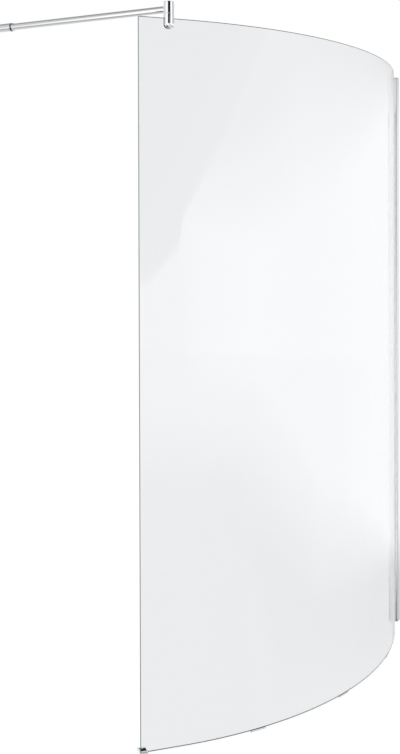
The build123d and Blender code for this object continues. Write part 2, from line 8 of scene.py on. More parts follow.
import logging
import math
from abc import ABC, abstractmethod
from dataclasses import dataclass, field
from enum import Enum
from typing import Iterable, Optional, Sequence, Union

import bmesh
import bpy
from mathutils import Matrix, Vector


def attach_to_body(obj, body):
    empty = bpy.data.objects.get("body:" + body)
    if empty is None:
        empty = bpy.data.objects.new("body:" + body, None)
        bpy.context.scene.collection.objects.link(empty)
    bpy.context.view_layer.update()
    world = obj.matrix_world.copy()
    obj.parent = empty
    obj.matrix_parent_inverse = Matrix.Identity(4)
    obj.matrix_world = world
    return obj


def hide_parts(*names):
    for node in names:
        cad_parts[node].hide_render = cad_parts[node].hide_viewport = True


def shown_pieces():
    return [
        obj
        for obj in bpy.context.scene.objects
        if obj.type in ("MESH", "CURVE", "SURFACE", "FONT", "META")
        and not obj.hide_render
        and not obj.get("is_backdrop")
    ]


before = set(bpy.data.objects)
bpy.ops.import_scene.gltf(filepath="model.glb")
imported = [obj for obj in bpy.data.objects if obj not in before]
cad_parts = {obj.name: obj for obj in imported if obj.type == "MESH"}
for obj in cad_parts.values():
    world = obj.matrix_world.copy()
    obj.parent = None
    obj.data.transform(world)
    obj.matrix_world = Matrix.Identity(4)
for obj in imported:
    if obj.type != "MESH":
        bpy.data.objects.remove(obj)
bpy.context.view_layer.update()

LOG = logging.getLogger("shower_screen")
MM = 0.001
TAPPED_HOLE = 5.1 * MM

Value = Union[float, int, Sequence[float], bpy.types.NodeSocket, bpy.types.ID, None]
Outline = Sequence[Sequence[float]]
Stops = tuple[tuple[float, float], ...]


class Body(Enum):
    """The CAD bodies that pieces ride on."""

    WALL_PROFILE = "wall_profile"
    SCREEN = "screen"
    ARM = "arm"
    WALL_FITTING = "wall_fitting"
    SLEEVE = "sleeve"


class Slot(Enum):
    """The record's material slots."""

    ALUMINIUM = "bright_aluminium"
    GREY_PLASTIC = "grey_plastic"
    STEEL = "stainless_steel"
    CHROME = "chrome"
    ZINC = "cast_zinc"
    GLASS = "glass"
    CLEAR_SEAL = "clear_seal"
    CLEAR_PLASTIC = "clear_plastic"
    PAD = "pad_rubber"
    BLACK_RUBBER = "black_rubber"
    WHITE_PLASTIC = "white_plastic"


# ---------------------------------------------------------------- node trees


class NodeGraph:
    """Adds nodes to one tree and links them."""

    def __init__(self, tree: bpy.types.NodeTree) -> None:
        """Takes the tree to fill.

        Args:
            tree: A shader, world or geometry node tree.
        """
        self.tree = tree

    def add(self, kind: str, **settings: object) -> bpy.types.Node:
        """Adds one node.

        Args:
            kind: The node's type name.
            settings: Properties to set on it.

        Returns:
            The new node.
        """
        node = self.tree.nodes.new(kind)
        for name, value in settings.items():
            setattr(node, name, value)
        return node

    def put(self, socket: bpy.types.NodeSocket, value: Value) -> None:
        """Links a socket to another, or sets its own value.

        Args:
            socket: The input to feed.
            value: A socket to link, a plain value, or None to leave it.
        """
        if isinstance(value, bpy.types.NodeSocket):
            self.tree.links.new(value, socket)
        elif value is not None:
            socket.default_value = value

    def math(self, operation: str, *values: Value, clamp: bool = False) -> bpy.types.NodeSocket:
        """Adds a Math node.

        Args:
            operation: The node's operation.
            values: Its inputs in order.
            clamp: Whether the result is held between 0 and 1.

        Returns:
            Its result.
        """
        node = self.add("ShaderNodeMath", operation=operation, use_clamp=clamp)
        for socket, value in zip(node.inputs, values):
            self.put(socket, value)
        return node.outputs[0]

    def vector(self, operation: str, *values: Value) -> bpy.types.NodeSocket:
        """Adds a Vector Math node whose result is a vector.

        Args:
            operation: The node's operation.
            values: Its inputs in order. A plain number feeds Scale.

        Returns:
            Its vector result.
        """
        node = self.add("ShaderNodeVectorMath", operation=operation)
        sockets = [node.inputs[0], node.inputs["Scale"] if operation == "SCALE" else node.inputs[1]]
        for socket, value in zip(sockets, values):
            self.put(socket, value)
        return node.outputs[0]

    def join(self, x: Value, y: Value, z: Value) -> bpy.types.NodeSocket:
        """The vector with these three parts."""
        node = self.add("ShaderNodeCombineXYZ")
        for socket, value in zip(node.inputs, (x, y, z)):
            self.put(socket, value)
        return node.outputs[0]

    def split(self, vector: bpy.types.NodeSocket) -> list[bpy.types.NodeSocket]:
        """The three parts of a vector."""
        node = self.add("ShaderNodeSeparateXYZ")
        self.put(node.inputs[0], vector)
        return list(node.outputs)

    def ramp(self, value: Value, stops: Sequence[Sequence[float]]) -> bpy.types.NodeSocket:
        """Turns a value into another by straight runs between a few stops.

        Args:
            value: The value to look up.
            stops: Pairs of value and result, in rising order.

        Returns:
            The result.
        """
        low, high = stops[0][0], stops[-1][0]
        least = min(result for _, result in stops)
        most = max(result for _, result in stops)
        span = max(most - least, 1e-6)
        node = self.add("ShaderNodeValToRGB")
        elements = node.color_ramp.elements
        for _ in range(len(stops) - 2):
            elements.new(0.5)
        for element, (place, result) in zip(elements, stops):
            element.position = (place - low) / (high - low)
            shade = (result - least) / span
            element.color = (shade, shade, shade, 1.0)
        self.put(node.inputs[0], self.remap(value, low, high, 0.0, 1.0))
        return self.remap(node.outputs[0], 0.0, 1.0, least, most)

    def remap(self, value: Value, low: Value, high: Value, to_low: Value, to_high: Value,
              smooth: bool = False) -> bpy.types.NodeSocket:
        """Maps a value from one range to another, held inside it.

        Args:
            value: The value.
            low: Start of its range.
            high: End of its range.
            to_low: Result at the start.
            to_high: Result at the end.
            smooth: Whether it eases in and out.

        Returns:
            The mapped value.
        """
        kind = "SMOOTHSTEP" if smooth else "LINEAR"
        node = self.add("ShaderNodeMapRange", interpolation_type=kind)
        for socket, number in zip(node.inputs, (value, low, high, to_low, to_high)):
            self.put(socket, number)
        return node.outputs[0]

    def blend(self, factor: Value, first: Value, second: Value) -> bpy.types.NodeSocket:
        """Mixes two numbers.

        Args:
            factor: 0 for the first, 1 for the second.
            first: A number.
            second: A number.

        Returns:
            The mixed number.
        """
        node = self.add("ShaderNodeMix", data_type="FLOAT")
        for socket, value in zip((node.inputs[0], node.inputs[2], node.inputs[3]), (factor, first, second)):
            self.put(socket, value)
        return node.outputs[0]

    def tint(self, factor: Value, first: Value, second: Value) -> bpy.types.NodeSocket:
        """Mixes two colours.

        Args:
            factor: 0 for the first, 1 for the second.
            first: A colour.
            second: A colour.

        Returns:
            The mixed colour.
        """
        node = self.add("ShaderNodeMix", data_type="RGBA")
        for socket, value in zip((node.inputs[0], node.inputs[6], node.inputs[7]), (factor, first, second)):
            self.put(socket, value)
        return node.outputs[2]

    def shader_mix(self, factor: Value, first: Value, second: Value) -> bpy.types.NodeSocket:
        """Mixes two shaders.

        Args:
            factor: 0 for the first, 1 for the second.
            first: A shader.
            second: A shader.

        Returns:
            The mixed shader.
        """
        node = self.add("ShaderNodeMixShader")
        for socket, value in zip(node.inputs, (factor, first, second)):
            self.put(socket, value)
        return node.outputs[0]


# ------------------------------------------------------------------ finishes


def rgba(colour: Sequence[float], factor: float = 1.0) -> tuple[float, float, float, float]:
    """A colour scaled by a factor, with full alpha."""
    red, green, blue = (part * factor for part in colour)
    return red, green, blue, 1.0


@dataclass(frozen=True)
class Finish(ABC):
    """A surface finish that becomes one material, made once."""

    name: str
    slot: Slot

    def material(self) -> bpy.types.Material:
        """The finish as a material.

        Returns:
            The material, new or made before.
        """
        made = bpy.data.materials.get(self.name)
        if made is None:
            made = bpy.data.materials.new(self.name)
            made.use_nodes = True
            made.node_tree.nodes.clear()
            graph = NodeGraph(made.node_tree)
            output = graph.add("ShaderNodeOutputMaterial")
            graph.put(output.inputs["Surface"], self.shade(graph))
        return made

    @abstractmethod
    def shade(self, graph: NodeGraph) -> bpy.types.NodeSocket:
        """Adds the finish's nodes and returns its shader."""

    @staticmethod
    def noise(graph: NodeGraph, scale: Sequence[float], detail: float = 3.0) -> bpy.types.NodeSocket:
        """Noise on the piece's own coordinates.

        Args:
            graph: The material's nodes.
            scale: Features per metre along X, Y and Z.
            detail: How many finer layers it has.

        Returns:
            A value around 0.5.
        """
        place = graph.add("ShaderNodeTexCoord").outputs["Object"]
        mapping = graph.add("ShaderNodeMapping")
        graph.put(mapping.inputs["Vector"], place)
        graph.put(mapping.inputs["Scale"], tuple(scale))
        texture = graph.add("ShaderNodeTexNoise")
        graph.put(texture.inputs["Vector"], mapping.outputs[0])
        graph.put(texture.inputs["Scale"], 1.0)
        graph.put(texture.inputs["Detail"], detail)
        return texture.outputs[0]

    @staticmethod
    def bump(graph: NodeGraph, height: Value, depth: float) -> bpy.types.NodeSocket:
        """A normal that stands for a relief of that depth in metres.

        Args:
            graph: The material's nodes.
            height: The relief, from 0 to 1.
            depth: Its depth in metres.

        Returns:
            The normal.
        """
        node = graph.add("ShaderNodeBump")
        graph.put(node.inputs["Strength"], 1.0)
        graph.put(node.inputs["Distance"], depth)
        graph.put(node.inputs["Height"], height)
        return node.outputs[0]


@dataclass(frozen=True)
class Metal(Finish):
    """Bare or plated metal with a fine relief and uneven polish."""

    colour: tuple[float, float, float] = (0.8, 0.8, 0.8)
    roughness: tuple[float, float] = (0.04, 0.08)
    relief_scale: tuple[float, float, float] = (220.0, 220.0, 220.0)
    relief_depth: float = 0.000001
    stain_scale: tuple[float, float, float] = (35.0, 35.0, 35.0)
    stain: float = 0.03

    def shade(self, graph: NodeGraph) -> bpy.types.NodeSocket:
        """Adds the metal's nodes and returns its shader."""
        stains = self.noise(graph, self.stain_scale, 4.0)
        relief = self.noise(graph, self.relief_scale, 2.0)
        shader = graph.add("ShaderNodeBsdfPrincipled")
        darker = rgba(self.colour, 1.0 - self.stain)
        graph.put(shader.inputs["Base Color"], graph.tint(stains, darker, rgba(self.colour)))
        graph.put(shader.inputs["Metallic"], 1.0)
        graph.put(shader.inputs["Roughness"], graph.remap(stains, 0.3, 0.7, *self.roughness))
        graph.put(shader.inputs["Normal"], self.bump(graph, relief, self.relief_depth))
        return shader.outputs[0]


@dataclass(frozen=True)
class Moulded(Finish):
    """Opaque or translucent plastic or rubber with a fine moulded grain."""

    colour: tuple[float, float, float] = (0.5, 0.5, 0.5)
    roughness: tuple[float, float] = (0.35, 0.5)
    grain_scale: float = 2500.0
    grain_depth: float = 0.00001
    mottle: float = 0.06
    transmission: float = 0.0
    refraction: float = 1.5

    def shade(self, graph: NodeGraph) -> bpy.types.NodeSocket:
        """Adds the plastic's nodes and returns its shader."""
        mottle = self.noise(graph, (60.0, 60.0, 60.0), 3.0)
        grain = self.noise(graph, (self.grain_scale,) * 3, 2.0)
        shader = graph.add("ShaderNodeBsdfPrincipled")
        darker = rgba(self.colour, 1.0 - self.mottle)
        graph.put(shader.inputs["Base Color"], graph.tint(mottle, darker, rgba(self.colour)))
        graph.put(shader.inputs["Roughness"], graph.remap(grain, 0.3, 0.7, *self.roughness))
        graph.put(shader.inputs["Normal"], self.bump(graph, grain, self.grain_depth))
        graph.put(shader.inputs["IOR"], self.refraction)
        graph.put(shader.inputs["Transmission Weight"], self.transmission)
        return shader.outputs[0]


@dataclass(frozen=True)
class ClearGlass(Finish):
    """Polished clear glass that lets lamps through."""

    tint: tuple[float, float, float] = (0.874, 0.883, 0.900)
    shadow_tint: tuple[float, float, float] = (0.86, 0.88, 0.88)
    water_marks: float = 0.006

    def shade(self, graph: NodeGraph) -> bpy.types.NodeSocket:
        """Adds the glass's nodes and returns its shader."""
        marks = self.noise(graph, (9.0, 9.0, 3.5), 5.0)
        shader = graph.add("ShaderNodeBsdfPrincipled")
        cleaner = rgba(self.tint, 1.004)
        graph.put(shader.inputs["Base Color"], graph.tint(marks, rgba(self.tint, 0.998), cleaner))
        graph.put(shader.inputs["Roughness"], graph.remap(marks, 0.55, 0.8, 0.0, self.water_marks))
        graph.put(shader.inputs["IOR"], 1.5)
        graph.put(shader.inputs["Transmission Weight"], 1.0)
        clear = graph.add("ShaderNodeBsdfTransparent")
        graph.put(clear.inputs["Color"], rgba(self.shadow_tint))
        rays = graph.add("ShaderNodeLightPath")
        return graph.shader_mix(rays.outputs["Is Shadow Ray"], shader.outputs[0], clear.outputs[0])


@dataclass(frozen=True)
class GroundEdge(Finish):
    """The ground and arrised edge of the glass, coloured dark as painted shade for the dark line that a glass
    edge shows.
    """

    # The dark colour is painted shade: the edge is coloured much darker than a ground glass edge, to stand
    # for the shade along it.
    colour: tuple[float, float, float] = (0.12, 0.145, 0.148)
    roughness: tuple[float, float] = (0.2, 0.3)

    def shade(self, graph: NodeGraph) -> bpy.types.NodeSocket:
        """Adds the edge's nodes and returns its shader."""
        marks = self.noise(graph, (900.0, 900.0, 900.0), 2.0)
        bands = self.noise(graph, (14.0, 14.0, 14.0), 3.0)
        shader = graph.add("ShaderNodeBsdfPrincipled")
        # The painted-shade colour, varied a little by random bands.
        graph.put(shader.inputs["Base Color"],
                  graph.tint(bands, rgba(self.colour, 0.9), rgba(self.colour, 1.06)))
        graph.put(shader.inputs["Roughness"], graph.remap(marks, 0.3, 0.7, *self.roughness))
        graph.put(shader.inputs["Normal"], self.bump(graph, marks, 0.00001))
        graph.put(shader.inputs["IOR"], 1.5)
        return shader.outputs[0]


CHROME = Metal("chrome_plate", Slot.CHROME, (0.83, 0.84, 0.86), (0.03, 0.06))
ALUMINIUM = Metal("drawn_bright_aluminium", Slot.ALUMINIUM, (0.66, 0.67, 0.68), (0.05, 0.09),
                  (1800.0, 1800.0, 4.0), 0.000002, (300.0, 300.0, 2.0), 0.05)
STEEL = Metal("turned_stainless_steel", Slot.STEEL, (0.62, 0.62, 0.63), (0.2, 0.32),
              (2500.0, 2500.0, 2500.0), 0.000004, (150.0, 150.0, 150.0), 0.12)
ZINC = Metal("die_cast_zinc", Slot.ZINC, (0.60, 0.61, 0.62), (0.35, 0.5),
             (900.0, 900.0, 900.0), 0.00001, (120.0, 120.0, 120.0), 0.15)
GREY_PLASTIC = Moulded("satin_grey_plastic", Slot.GREY_PLASTIC, (0.55, 0.56, 0.57))
WHITE_PLASTIC = Moulded("turned_white_plastic", Slot.WHITE_PLASTIC, (0.86, 0.87, 0.87))
PAD_RUBBER = Moulded("pad_rubber", Slot.PAD, (0.06, 0.06, 0.065), (0.6, 0.8))
BLACK_RUBBER = Moulded("black_rubber", Slot.BLACK_RUBBER, (0.03, 0.03, 0.035), (0.3, 0.45))
GLOSSY_SEAL = Moulded("glossy_black_seal", Slot.BLACK_RUBBER, (0.03, 0.03, 0.035), (0.06, 0.12),
                      grain_depth=0.000001, refraction=2.2)
CLEAR_SEAL = Moulded("clear_seal", Slot.CLEAR_SEAL, (0.80, 0.82, 0.82), (0.2, 0.3), transmission=0.75)
CLEAR_PLASTIC = Moulded("clear_plastic", Slot.CLEAR_PLASTIC, (0.96, 0.97, 0.97), (0.0, 0.03),
                        grain_depth=0.0000002, mottle=0.01, transmission=1.0, refraction=1.15)
GLASS = ClearGlass("clear_glass", Slot.GLASS)
# The glass edge's dark colour is painted shade.
GLASS_EDGE = GroundEdge("ground_glass_edge_painted_shade", Slot.GLASS)


# --------------------------------------------------------------- mesh making


def rounded(corners: Outline, steps: int = 5) -> list[tuple[float, float]]:
    """Rounds the corners of an outline.

    Args:
        corners: Points of two numbers, or three where the third is the corner's radius.
        steps: Straight pieces in each round.

    Returns:
        The outline's points.
    """
    points: list[tuple[float, float]] = []
    count = len(corners)
    for index, corner in enumerate(corners):
        here = Vector(corner[:2])
        radius = corner[2] if len(corner) > 2 else 0.0
        before = (Vector(corners[index - 1][:2]) - here).normalized()
        after = (Vector(corners[(index + 1) % count][:2]) - here).normalized()
        if radius <= 0.0:
            points.append(tuple(here))
            continue
        half = before.angle(after) / 2
        reach = radius / math.tan(half)
        centre = here + (before + after).normalized() * (radius / math.sin(half))
        start, end = here + before * reach - centre, here + after * reach - centre
        sweep = start.angle_signed(end)
        for step in range(steps + 1):
            turn = Matrix.Rotation(-sweep * step / steps, 2)
            points.append(tuple(centre + turn @ start))
    return points


def aim(start: Vector, end: Vector) -> Matrix:
    """The placement that takes +Z at the origin to the run from start towards end."""
    turn = (end - start).to_track_quat("Z", "Y").to_matrix().to_4x4()
    return Matrix.Translation(start) @ turn


def discard(objects: Iterable[bpy.types.Object]) -> None:
    """Removes helper objects and their meshes."""
    for item in objects:
        mesh = item.data
        bpy.data.objects.remove(item)
        bpy.data.meshes.remove(mesh)


class Solid:
    """A closed mesh under construction."""

    def __init__(self, mesh: bmesh.types.BMesh) -> None:
        """Takes a mesh whose faces close.

        Args:
            mesh: The mesh.
        """
        self.mesh = mesh

    @classmethod
    def turned(cls, outline: Outline, segments: int = 96) -> "Solid":
        """A solid of revolution about +Z.

        Args:
            outline: Points of radius and height, closed. A radius of 0 lies on the axis.
            segments: Faces round it.

        Returns:
            The solid.
        """
        mesh = bmesh.new()
        rings = []
        for radius, height in outline:
            if radius < 1e-7:
                rings.append([mesh.verts.new((0.0, 0.0, height))] * segments)
                continue
            turns = [2 * math.pi * step / segments for step in range(segments)]
            rings.append([mesh.verts.new((radius * math.cos(turn), radius * math.sin(turn),
                                          height)) for turn in turns])
        for lower, upper in zip(rings, rings[1:] + rings[:1]):
            for step in range(segments):
                follow = (step + 1) % segments
                corners = (lower[step], lower[follow], upper[follow], upper[step])
                distinct = list(dict.fromkeys(corners))
                if len(distinct) > 2:
                    mesh.faces.new(distinct)
        return cls(mesh).mended()

    @classmethod
    def prism(cls, outline: Outline, low: float, high: float) -> "Solid":
        """An outline in X and Y, carried from one height to another.

        Args:
            outline: The outline's points.
            low: Lower height.
            high: Upper height.

        Returns:
            The solid.
        """
        mesh = bmesh.new()
        lower = [mesh.verts.new((x, y, low)) for x, y in outline]
        upper = [mesh.verts.new((x, y, high)) for x, y in outline]
        mesh.faces.new(lower[::-1])
        mesh.faces.new(upper)
        for index in range(len(outline)):
            follow = (index + 1) % len(outline)
            mesh.faces.new((lower[index], lower[follow], upper[follow], upper[index]))
        return cls(mesh).mended()

    @classmethod
    def box(cls, low: Sequence[float], high: Sequence[float]) -> "Solid":
        """A box between two corners."""
        corners = [(low[0], low[1]), (high[0], low[1]), (high[0], high[1]), (low[0], high[1])]
        return cls.prism(corners, low[2], high[2])

    @classmethod
    def rod(cls, start: Vector, end: Vector, diameter: float, end_diameter: Optional[float] = None,
            segments: int = 64) -> "Solid":
        """A round bar or cone between two points.

        Args:
            start: Centre of the first end.
            end: Centre of the second end.
            diameter: Diameter at the first end.
            end_diameter: Diameter at the second end, or None for the same.
            segments: Faces round it.

        Returns:
            The solid.
        """
        length = (end - start).length
        far = diameter if end_diameter is None else end_diameter
        outline = [(0.0, 0.0), (diameter / 2, 0.0), (far / 2, length), (0.0, length)]
        return cls.turned(outline, segments).placed(aim(start, end))

    @classmethod
    def hexagon(cls, start: Vector, end: Vector, across_flats: float) -> "Solid":
        """A hexagonal bar between two points."""
        radius = across_flats / math.sqrt(3)
        corners = [(radius * math.cos(turn), radius * math.sin(turn)) for turn in
                   (math.radians(60 * side) for side in range(6))]
        return cls.prism(corners, 0.0, (end - start).length).placed(aim(start, end))

    @classmethod
    def of_node(cls, name: str) -> "Solid":
        """A merged copy of a CAD node's mesh."""
        mesh = bmesh.new()
        mesh.from_mesh(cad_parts[name].data)
        bmesh.ops.remove_doubles(mesh, verts=mesh.verts, dist=1e-6)
        bmesh.ops.dissolve_limit(mesh, angle_limit=math.radians(0.5), verts=mesh.verts, edges=mesh.edges)
        return cls(mesh)

    def mended(self) -> "Solid":
        """Merges doubled points and turns the faces outwards."""
        bmesh.ops.remove_doubles(self.mesh, verts=self.mesh.verts, dist=1e-7)
        bmesh.ops.recalc_face_normals(self.mesh, faces=self.mesh.faces)
        return self

    def placed(self, place: Matrix) -> "Solid":
        """Moves the solid by a placement."""
        bmesh.ops.transform(self.mesh, matrix=place, verts=self.mesh.verts)
        return self

    def softened(self, width: float, steps: int = 2, least_angle: float = 40.0) -> "Solid":
        """Breaks the sharp edges.

        Args:
            width: Width of the break.
            steps: Faces across it.
            least_angle: The smallest angle in degrees that counts as sharp.

        Returns:
            The solid itself.
        """
        limit = math.radians(least_angle)
        sharp = [edge for edge in self.mesh.edges if edge.is_manifold and edge.calc_face_angle(0.0) > limit]
        bmesh.ops.bevel(self.mesh, geom=sharp, offset=width, offset_type="OFFSET", segments=steps,
                        profile=0.5, affect="EDGES", clamp_overlap=True)
        return self

    def cut(self, *cutters: "Solid") -> "Solid":
        """Takes other solids away from this one.

        Args:
            cutters: The solids to take away.

        Returns:
            The solid itself.
        """
        body = self.helper("body")
        helpers = [body]
        for index, cutter in enumerate(cutters):
            tool = cutter.helper(f"tool_{index}")
            helpers.append(tool)
            modifier = body.modifiers.new(tool.name, "BOOLEAN")
            modifier.operation = "DIFFERENCE"
            modifier.solver = "EXACT"
            modifier.object = tool
        result = bpy.data.meshes.new_from_object(body.evaluated_get(bpy.context.evaluated_depsgraph_get()))
        self.mesh.clear()
        self.mesh.from_mesh(result)
        bpy.data.meshes.remove(result)
        discard(helpers)
        bmesh.ops.dissolve_limit(self.mesh, angle_limit=math.radians(0.1), verts=self.mesh.verts,
                                 edges=self.mesh.edges)
        return self.mended()

    def helper(self, name: str) -> bpy.types.Object:
        """The solid as a helper object."""
        mesh = bpy.data.meshes.new(name)
        self.mesh.to_mesh(mesh)
        item = bpy.data.objects.new(name, mesh)
        bpy.context.scene.collection.objects.link(item)
        return item

    def piece(self, name: str, finish: Finish, smooth_angle: float = 32.0) -> bpy.types.Object:
        """The solid as a finished object at the origin.

        Args:
            name: Name of the piece.
            finish: Its finish.
            smooth_angle: Edges sharper than this many degrees stay sharp.

        Returns:
            The object.
        """
        item = self.helper(name + "_raw")
        mesh = item.data
        mesh.shade_smooth()
        mesh.set_sharp_from_angle(angle=math.radians(smooth_angle))
        mesh.materials.append(finish.material())
        weights = item.modifiers.new("even_normals", "WEIGHTED_NORMAL")
        weights.keep_sharp = True
        return plain_copy(item, name)


def plain_copy(item: bpy.types.Object, name: str) -> bpy.types.Object:
    """Turns an object with modifiers into a new one with a plain mesh.

    Args:
        item: The object, which is removed.
        name: Name of the new object.

    Returns:
        The new object, at the origin.
    """
    evaluated = item.evaluated_get(bpy.context.evaluated_depsgraph_get())
    mesh = bpy.data.meshes.new_from_object(evaluated)
    mesh.name = name
    discard([item])
    made = bpy.data.objects.new(name, mesh)
    bpy.context.scene.collection.objects.link(made)
    return made


def attach(item: bpy.types.Object, body: Body, finish: Finish, *nodes: str) -> bpy.types.Object:
    """Rides a piece on its body, hides the CAD nodes that it replaces and logs it.

    Args:
        item: The piece.
        body: The body that it rides on.
        finish: Not used.
        nodes: The CAD nodes that it replaces.

    Returns:
        The piece.
    """
    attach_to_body(item, body.value)
    if nodes:
        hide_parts(*nodes)
    LOG.info("%s rides on %s: %d faces", item.name, body.value, len(item.data.polygons))
    return item


def dress(finish: Finish, *nodes: str) -> None:
    """Gives CAD nodes that stay as they are a better material.

    Args:
        finish: The finish.
        nodes: The nodes' names.
    """
    for name in nodes:
        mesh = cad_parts[name].data
        mesh.materials.clear()
        mesh.materials.append(finish.material())
        LOG.info("%s keeps its CAD mesh and takes %s", name, finish.name)


# ------------------------------------------------------------ geometry nodes


class GrownPiece(ABC):
    """A piece that a tree of geometry nodes makes."""

    def __init__(self, name: str) -> None:
        """Makes the empty tree.

        Args:
            name: Name of the tree.
        """
        self.tree = bpy.data.node_groups.new(name, "GeometryNodeTree")
        self.graph = NodeGraph(self.tree)
        self.sockets: dict[str, str] = {}
        self.tree.interface.new_socket(name="Geometry", in_out="OUTPUT", socket_type="NodeSocketGeometry")
        self.source = self.graph.add("NodeGroupInput")

    def ask(self, name: str, kind: str = "Float") -> bpy.types.NodeSocket:
        """Adds a named input to the tree.

        Args:
            name: Its name.
            kind: Its type: Float, Int, Vector, Object or Material.

        Returns:
            The socket that carries it.
        """
        socket = self.tree.interface.new_socket(name=name, in_out="INPUT", socket_type="NodeSocket" + kind)
        self.sockets[name] = socket.identifier
        return self.source.outputs[name]

    def finish_tree(self, geometry: bpy.types.NodeSocket, material: bpy.types.NodeSocket,
                    extra: Optional[tuple[bpy.types.NodeSocket, bpy.types.NodeSocket]] = None) -> None:
        """Ends the tree in Realize Instances and Set Material.

        Args:
            geometry: What the tree made.
            material: The material of its faces.
            extra: A selection of faces and their own material.
        """
        real = self.graph.add("GeometryNodeRealizeInstances")
        self.graph.put(real.inputs[0], geometry)
        last = real.outputs[0]
        for chosen, coat in [(None, material)] + ([extra] if extra else []):
            paint = self.graph.add("GeometryNodeSetMaterial")
            self.graph.put(paint.inputs["Geometry"], last)
            self.graph.put(paint.inputs["Selection"], chosen)
            self.graph.put(paint.inputs["Material"], coat)
            last = paint.outputs[0]
        output = self.graph.add("NodeGroupOutput")
        self.graph.put(output.inputs[0], last)

    def make(self, name: str, values: dict[str, Value],
             smooth_angle: Optional[float] = None) -> bpy.types.Object:
        """Runs the tree and returns its result as a plain object.

        Args:
            name: Name of the piece.
            values: The tree's inputs by name.
            smooth_angle: Edges sharper than this many degrees are sharp, or None to leave them.

        Returns:
            The object.
        """
        item = bpy.data.objects.new(name + "_raw", bpy.data.meshes.new(name + "_raw"))
        modifier = item.modifiers.new(self.tree.name, "NODES")
        modifier.node_group = self.tree
        for label, value in values.items():
            modifier[self.sockets[label]] = value
        bpy.context.scene.collection.objects.link(item)
        made = plain_copy(item, name)
        if smooth_angle is not None:
            made.data.shade_smooth()
            made.data.set_sharp_from_angle(angle=math.radians(smooth_angle))
        return made


class FastenerRow(GrownPiece):
    """One fastener repeated up a line at an even pitch."""

    def __init__(self) -> None:
        """Builds the tree."""
        super().__init__("fastener_row")
        graph = self.graph
        fastener = self.ask("Fastener", "Object")
        count = self.ask("Count", "Int")
        first = self.ask("First", "Vector")
        pitch = self.ask("Pitch", "Vector")
        material = self.ask("Material", "Material")
        line = graph.add("GeometryNodeMeshLine", mode="OFFSET")
        graph.put(line.inputs["Count"], count)
        graph.put(line.inputs["Start Location"], first)
        graph.put(line.inputs["Offset"], pitch)
        shape = graph.add("GeometryNodeObjectInfo", transform_space="ORIGINAL")
        graph.put(shape.inputs["Object"], fastener)
        row = graph.add("GeometryNodeInstanceOnPoints")
        graph.put(row.inputs["Points"], line.outputs["Mesh"])
        graph.put(row.inputs["Instance"], shape.outputs["Geometry"])
        self.finish_tree(row.outputs[0], material)


@dataclass(frozen=True)
class GlassPlan:
    """The centre line of the glass in plan: straight, bent, straight."""

    nose: tuple[float, float] = (0.7 * MM, -34.0 * MM)
    wall_lean: float = 15.0
    bend: float = 60.0
    radius: float = 1160.0 * MM
    in_slot: float = 13.0 * MM
    wall_straight: float = 95.0 * MM
    free_straight: float = 115.0 * MM

    @staticmethod
    def outward(lean: float) -> Vector:
        """Direction square to the glass on its convex side, for a lean in degrees."""
        return Vector((math.cos(math.radians(lean)), math.sin(math.radians(lean)), 0.0))

    @staticmethod
    def heading(lean: float) -> Vector:
        """Direction along the glass away from the wall, for a lean in degrees."""
        return Vector((math.sin(math.radians(lean)), -math.cos(math.radians(lean)), 0.0))

    @property
    def free_lean(self) -> float:
        """Lean of the free straight."""
        return self.wall_lean - self.bend

    @property
    def bend_start(self) -> Vector:
        """Where the bend begins."""
        return Vector((*self.nose, 0.0)) + self.heading(self.wall_lean) * self.wall_straight

    @property
    def centre(self) -> Vector:
        """The bend's centre."""
        return self.bend_start - self.outward(self.wall_lean) * self.radius

    @property
    def free_edge(self) -> Vector:
        """The free edge."""
        bend_end = self.centre + self.outward(self.free_lean) * self.radius
        return bend_end + self.heading(self.free_lean) * self.free_straight

    @property
    def length(self) -> float:
        """Length of the centre line."""
        return self.in_slot + self.wall_straight + self.radius * math.radians(self.bend) + self.free_straight

    def frame_at(self, point: Vector, lean: float) -> Matrix:
        """Placement at a plan point: X along the glass, Y towards its convex side."""
        return Matrix.Translation(point) @ Matrix.Rotation(math.radians(lean - 90.0), 4, "Z")


PLAN = GlassPlan()


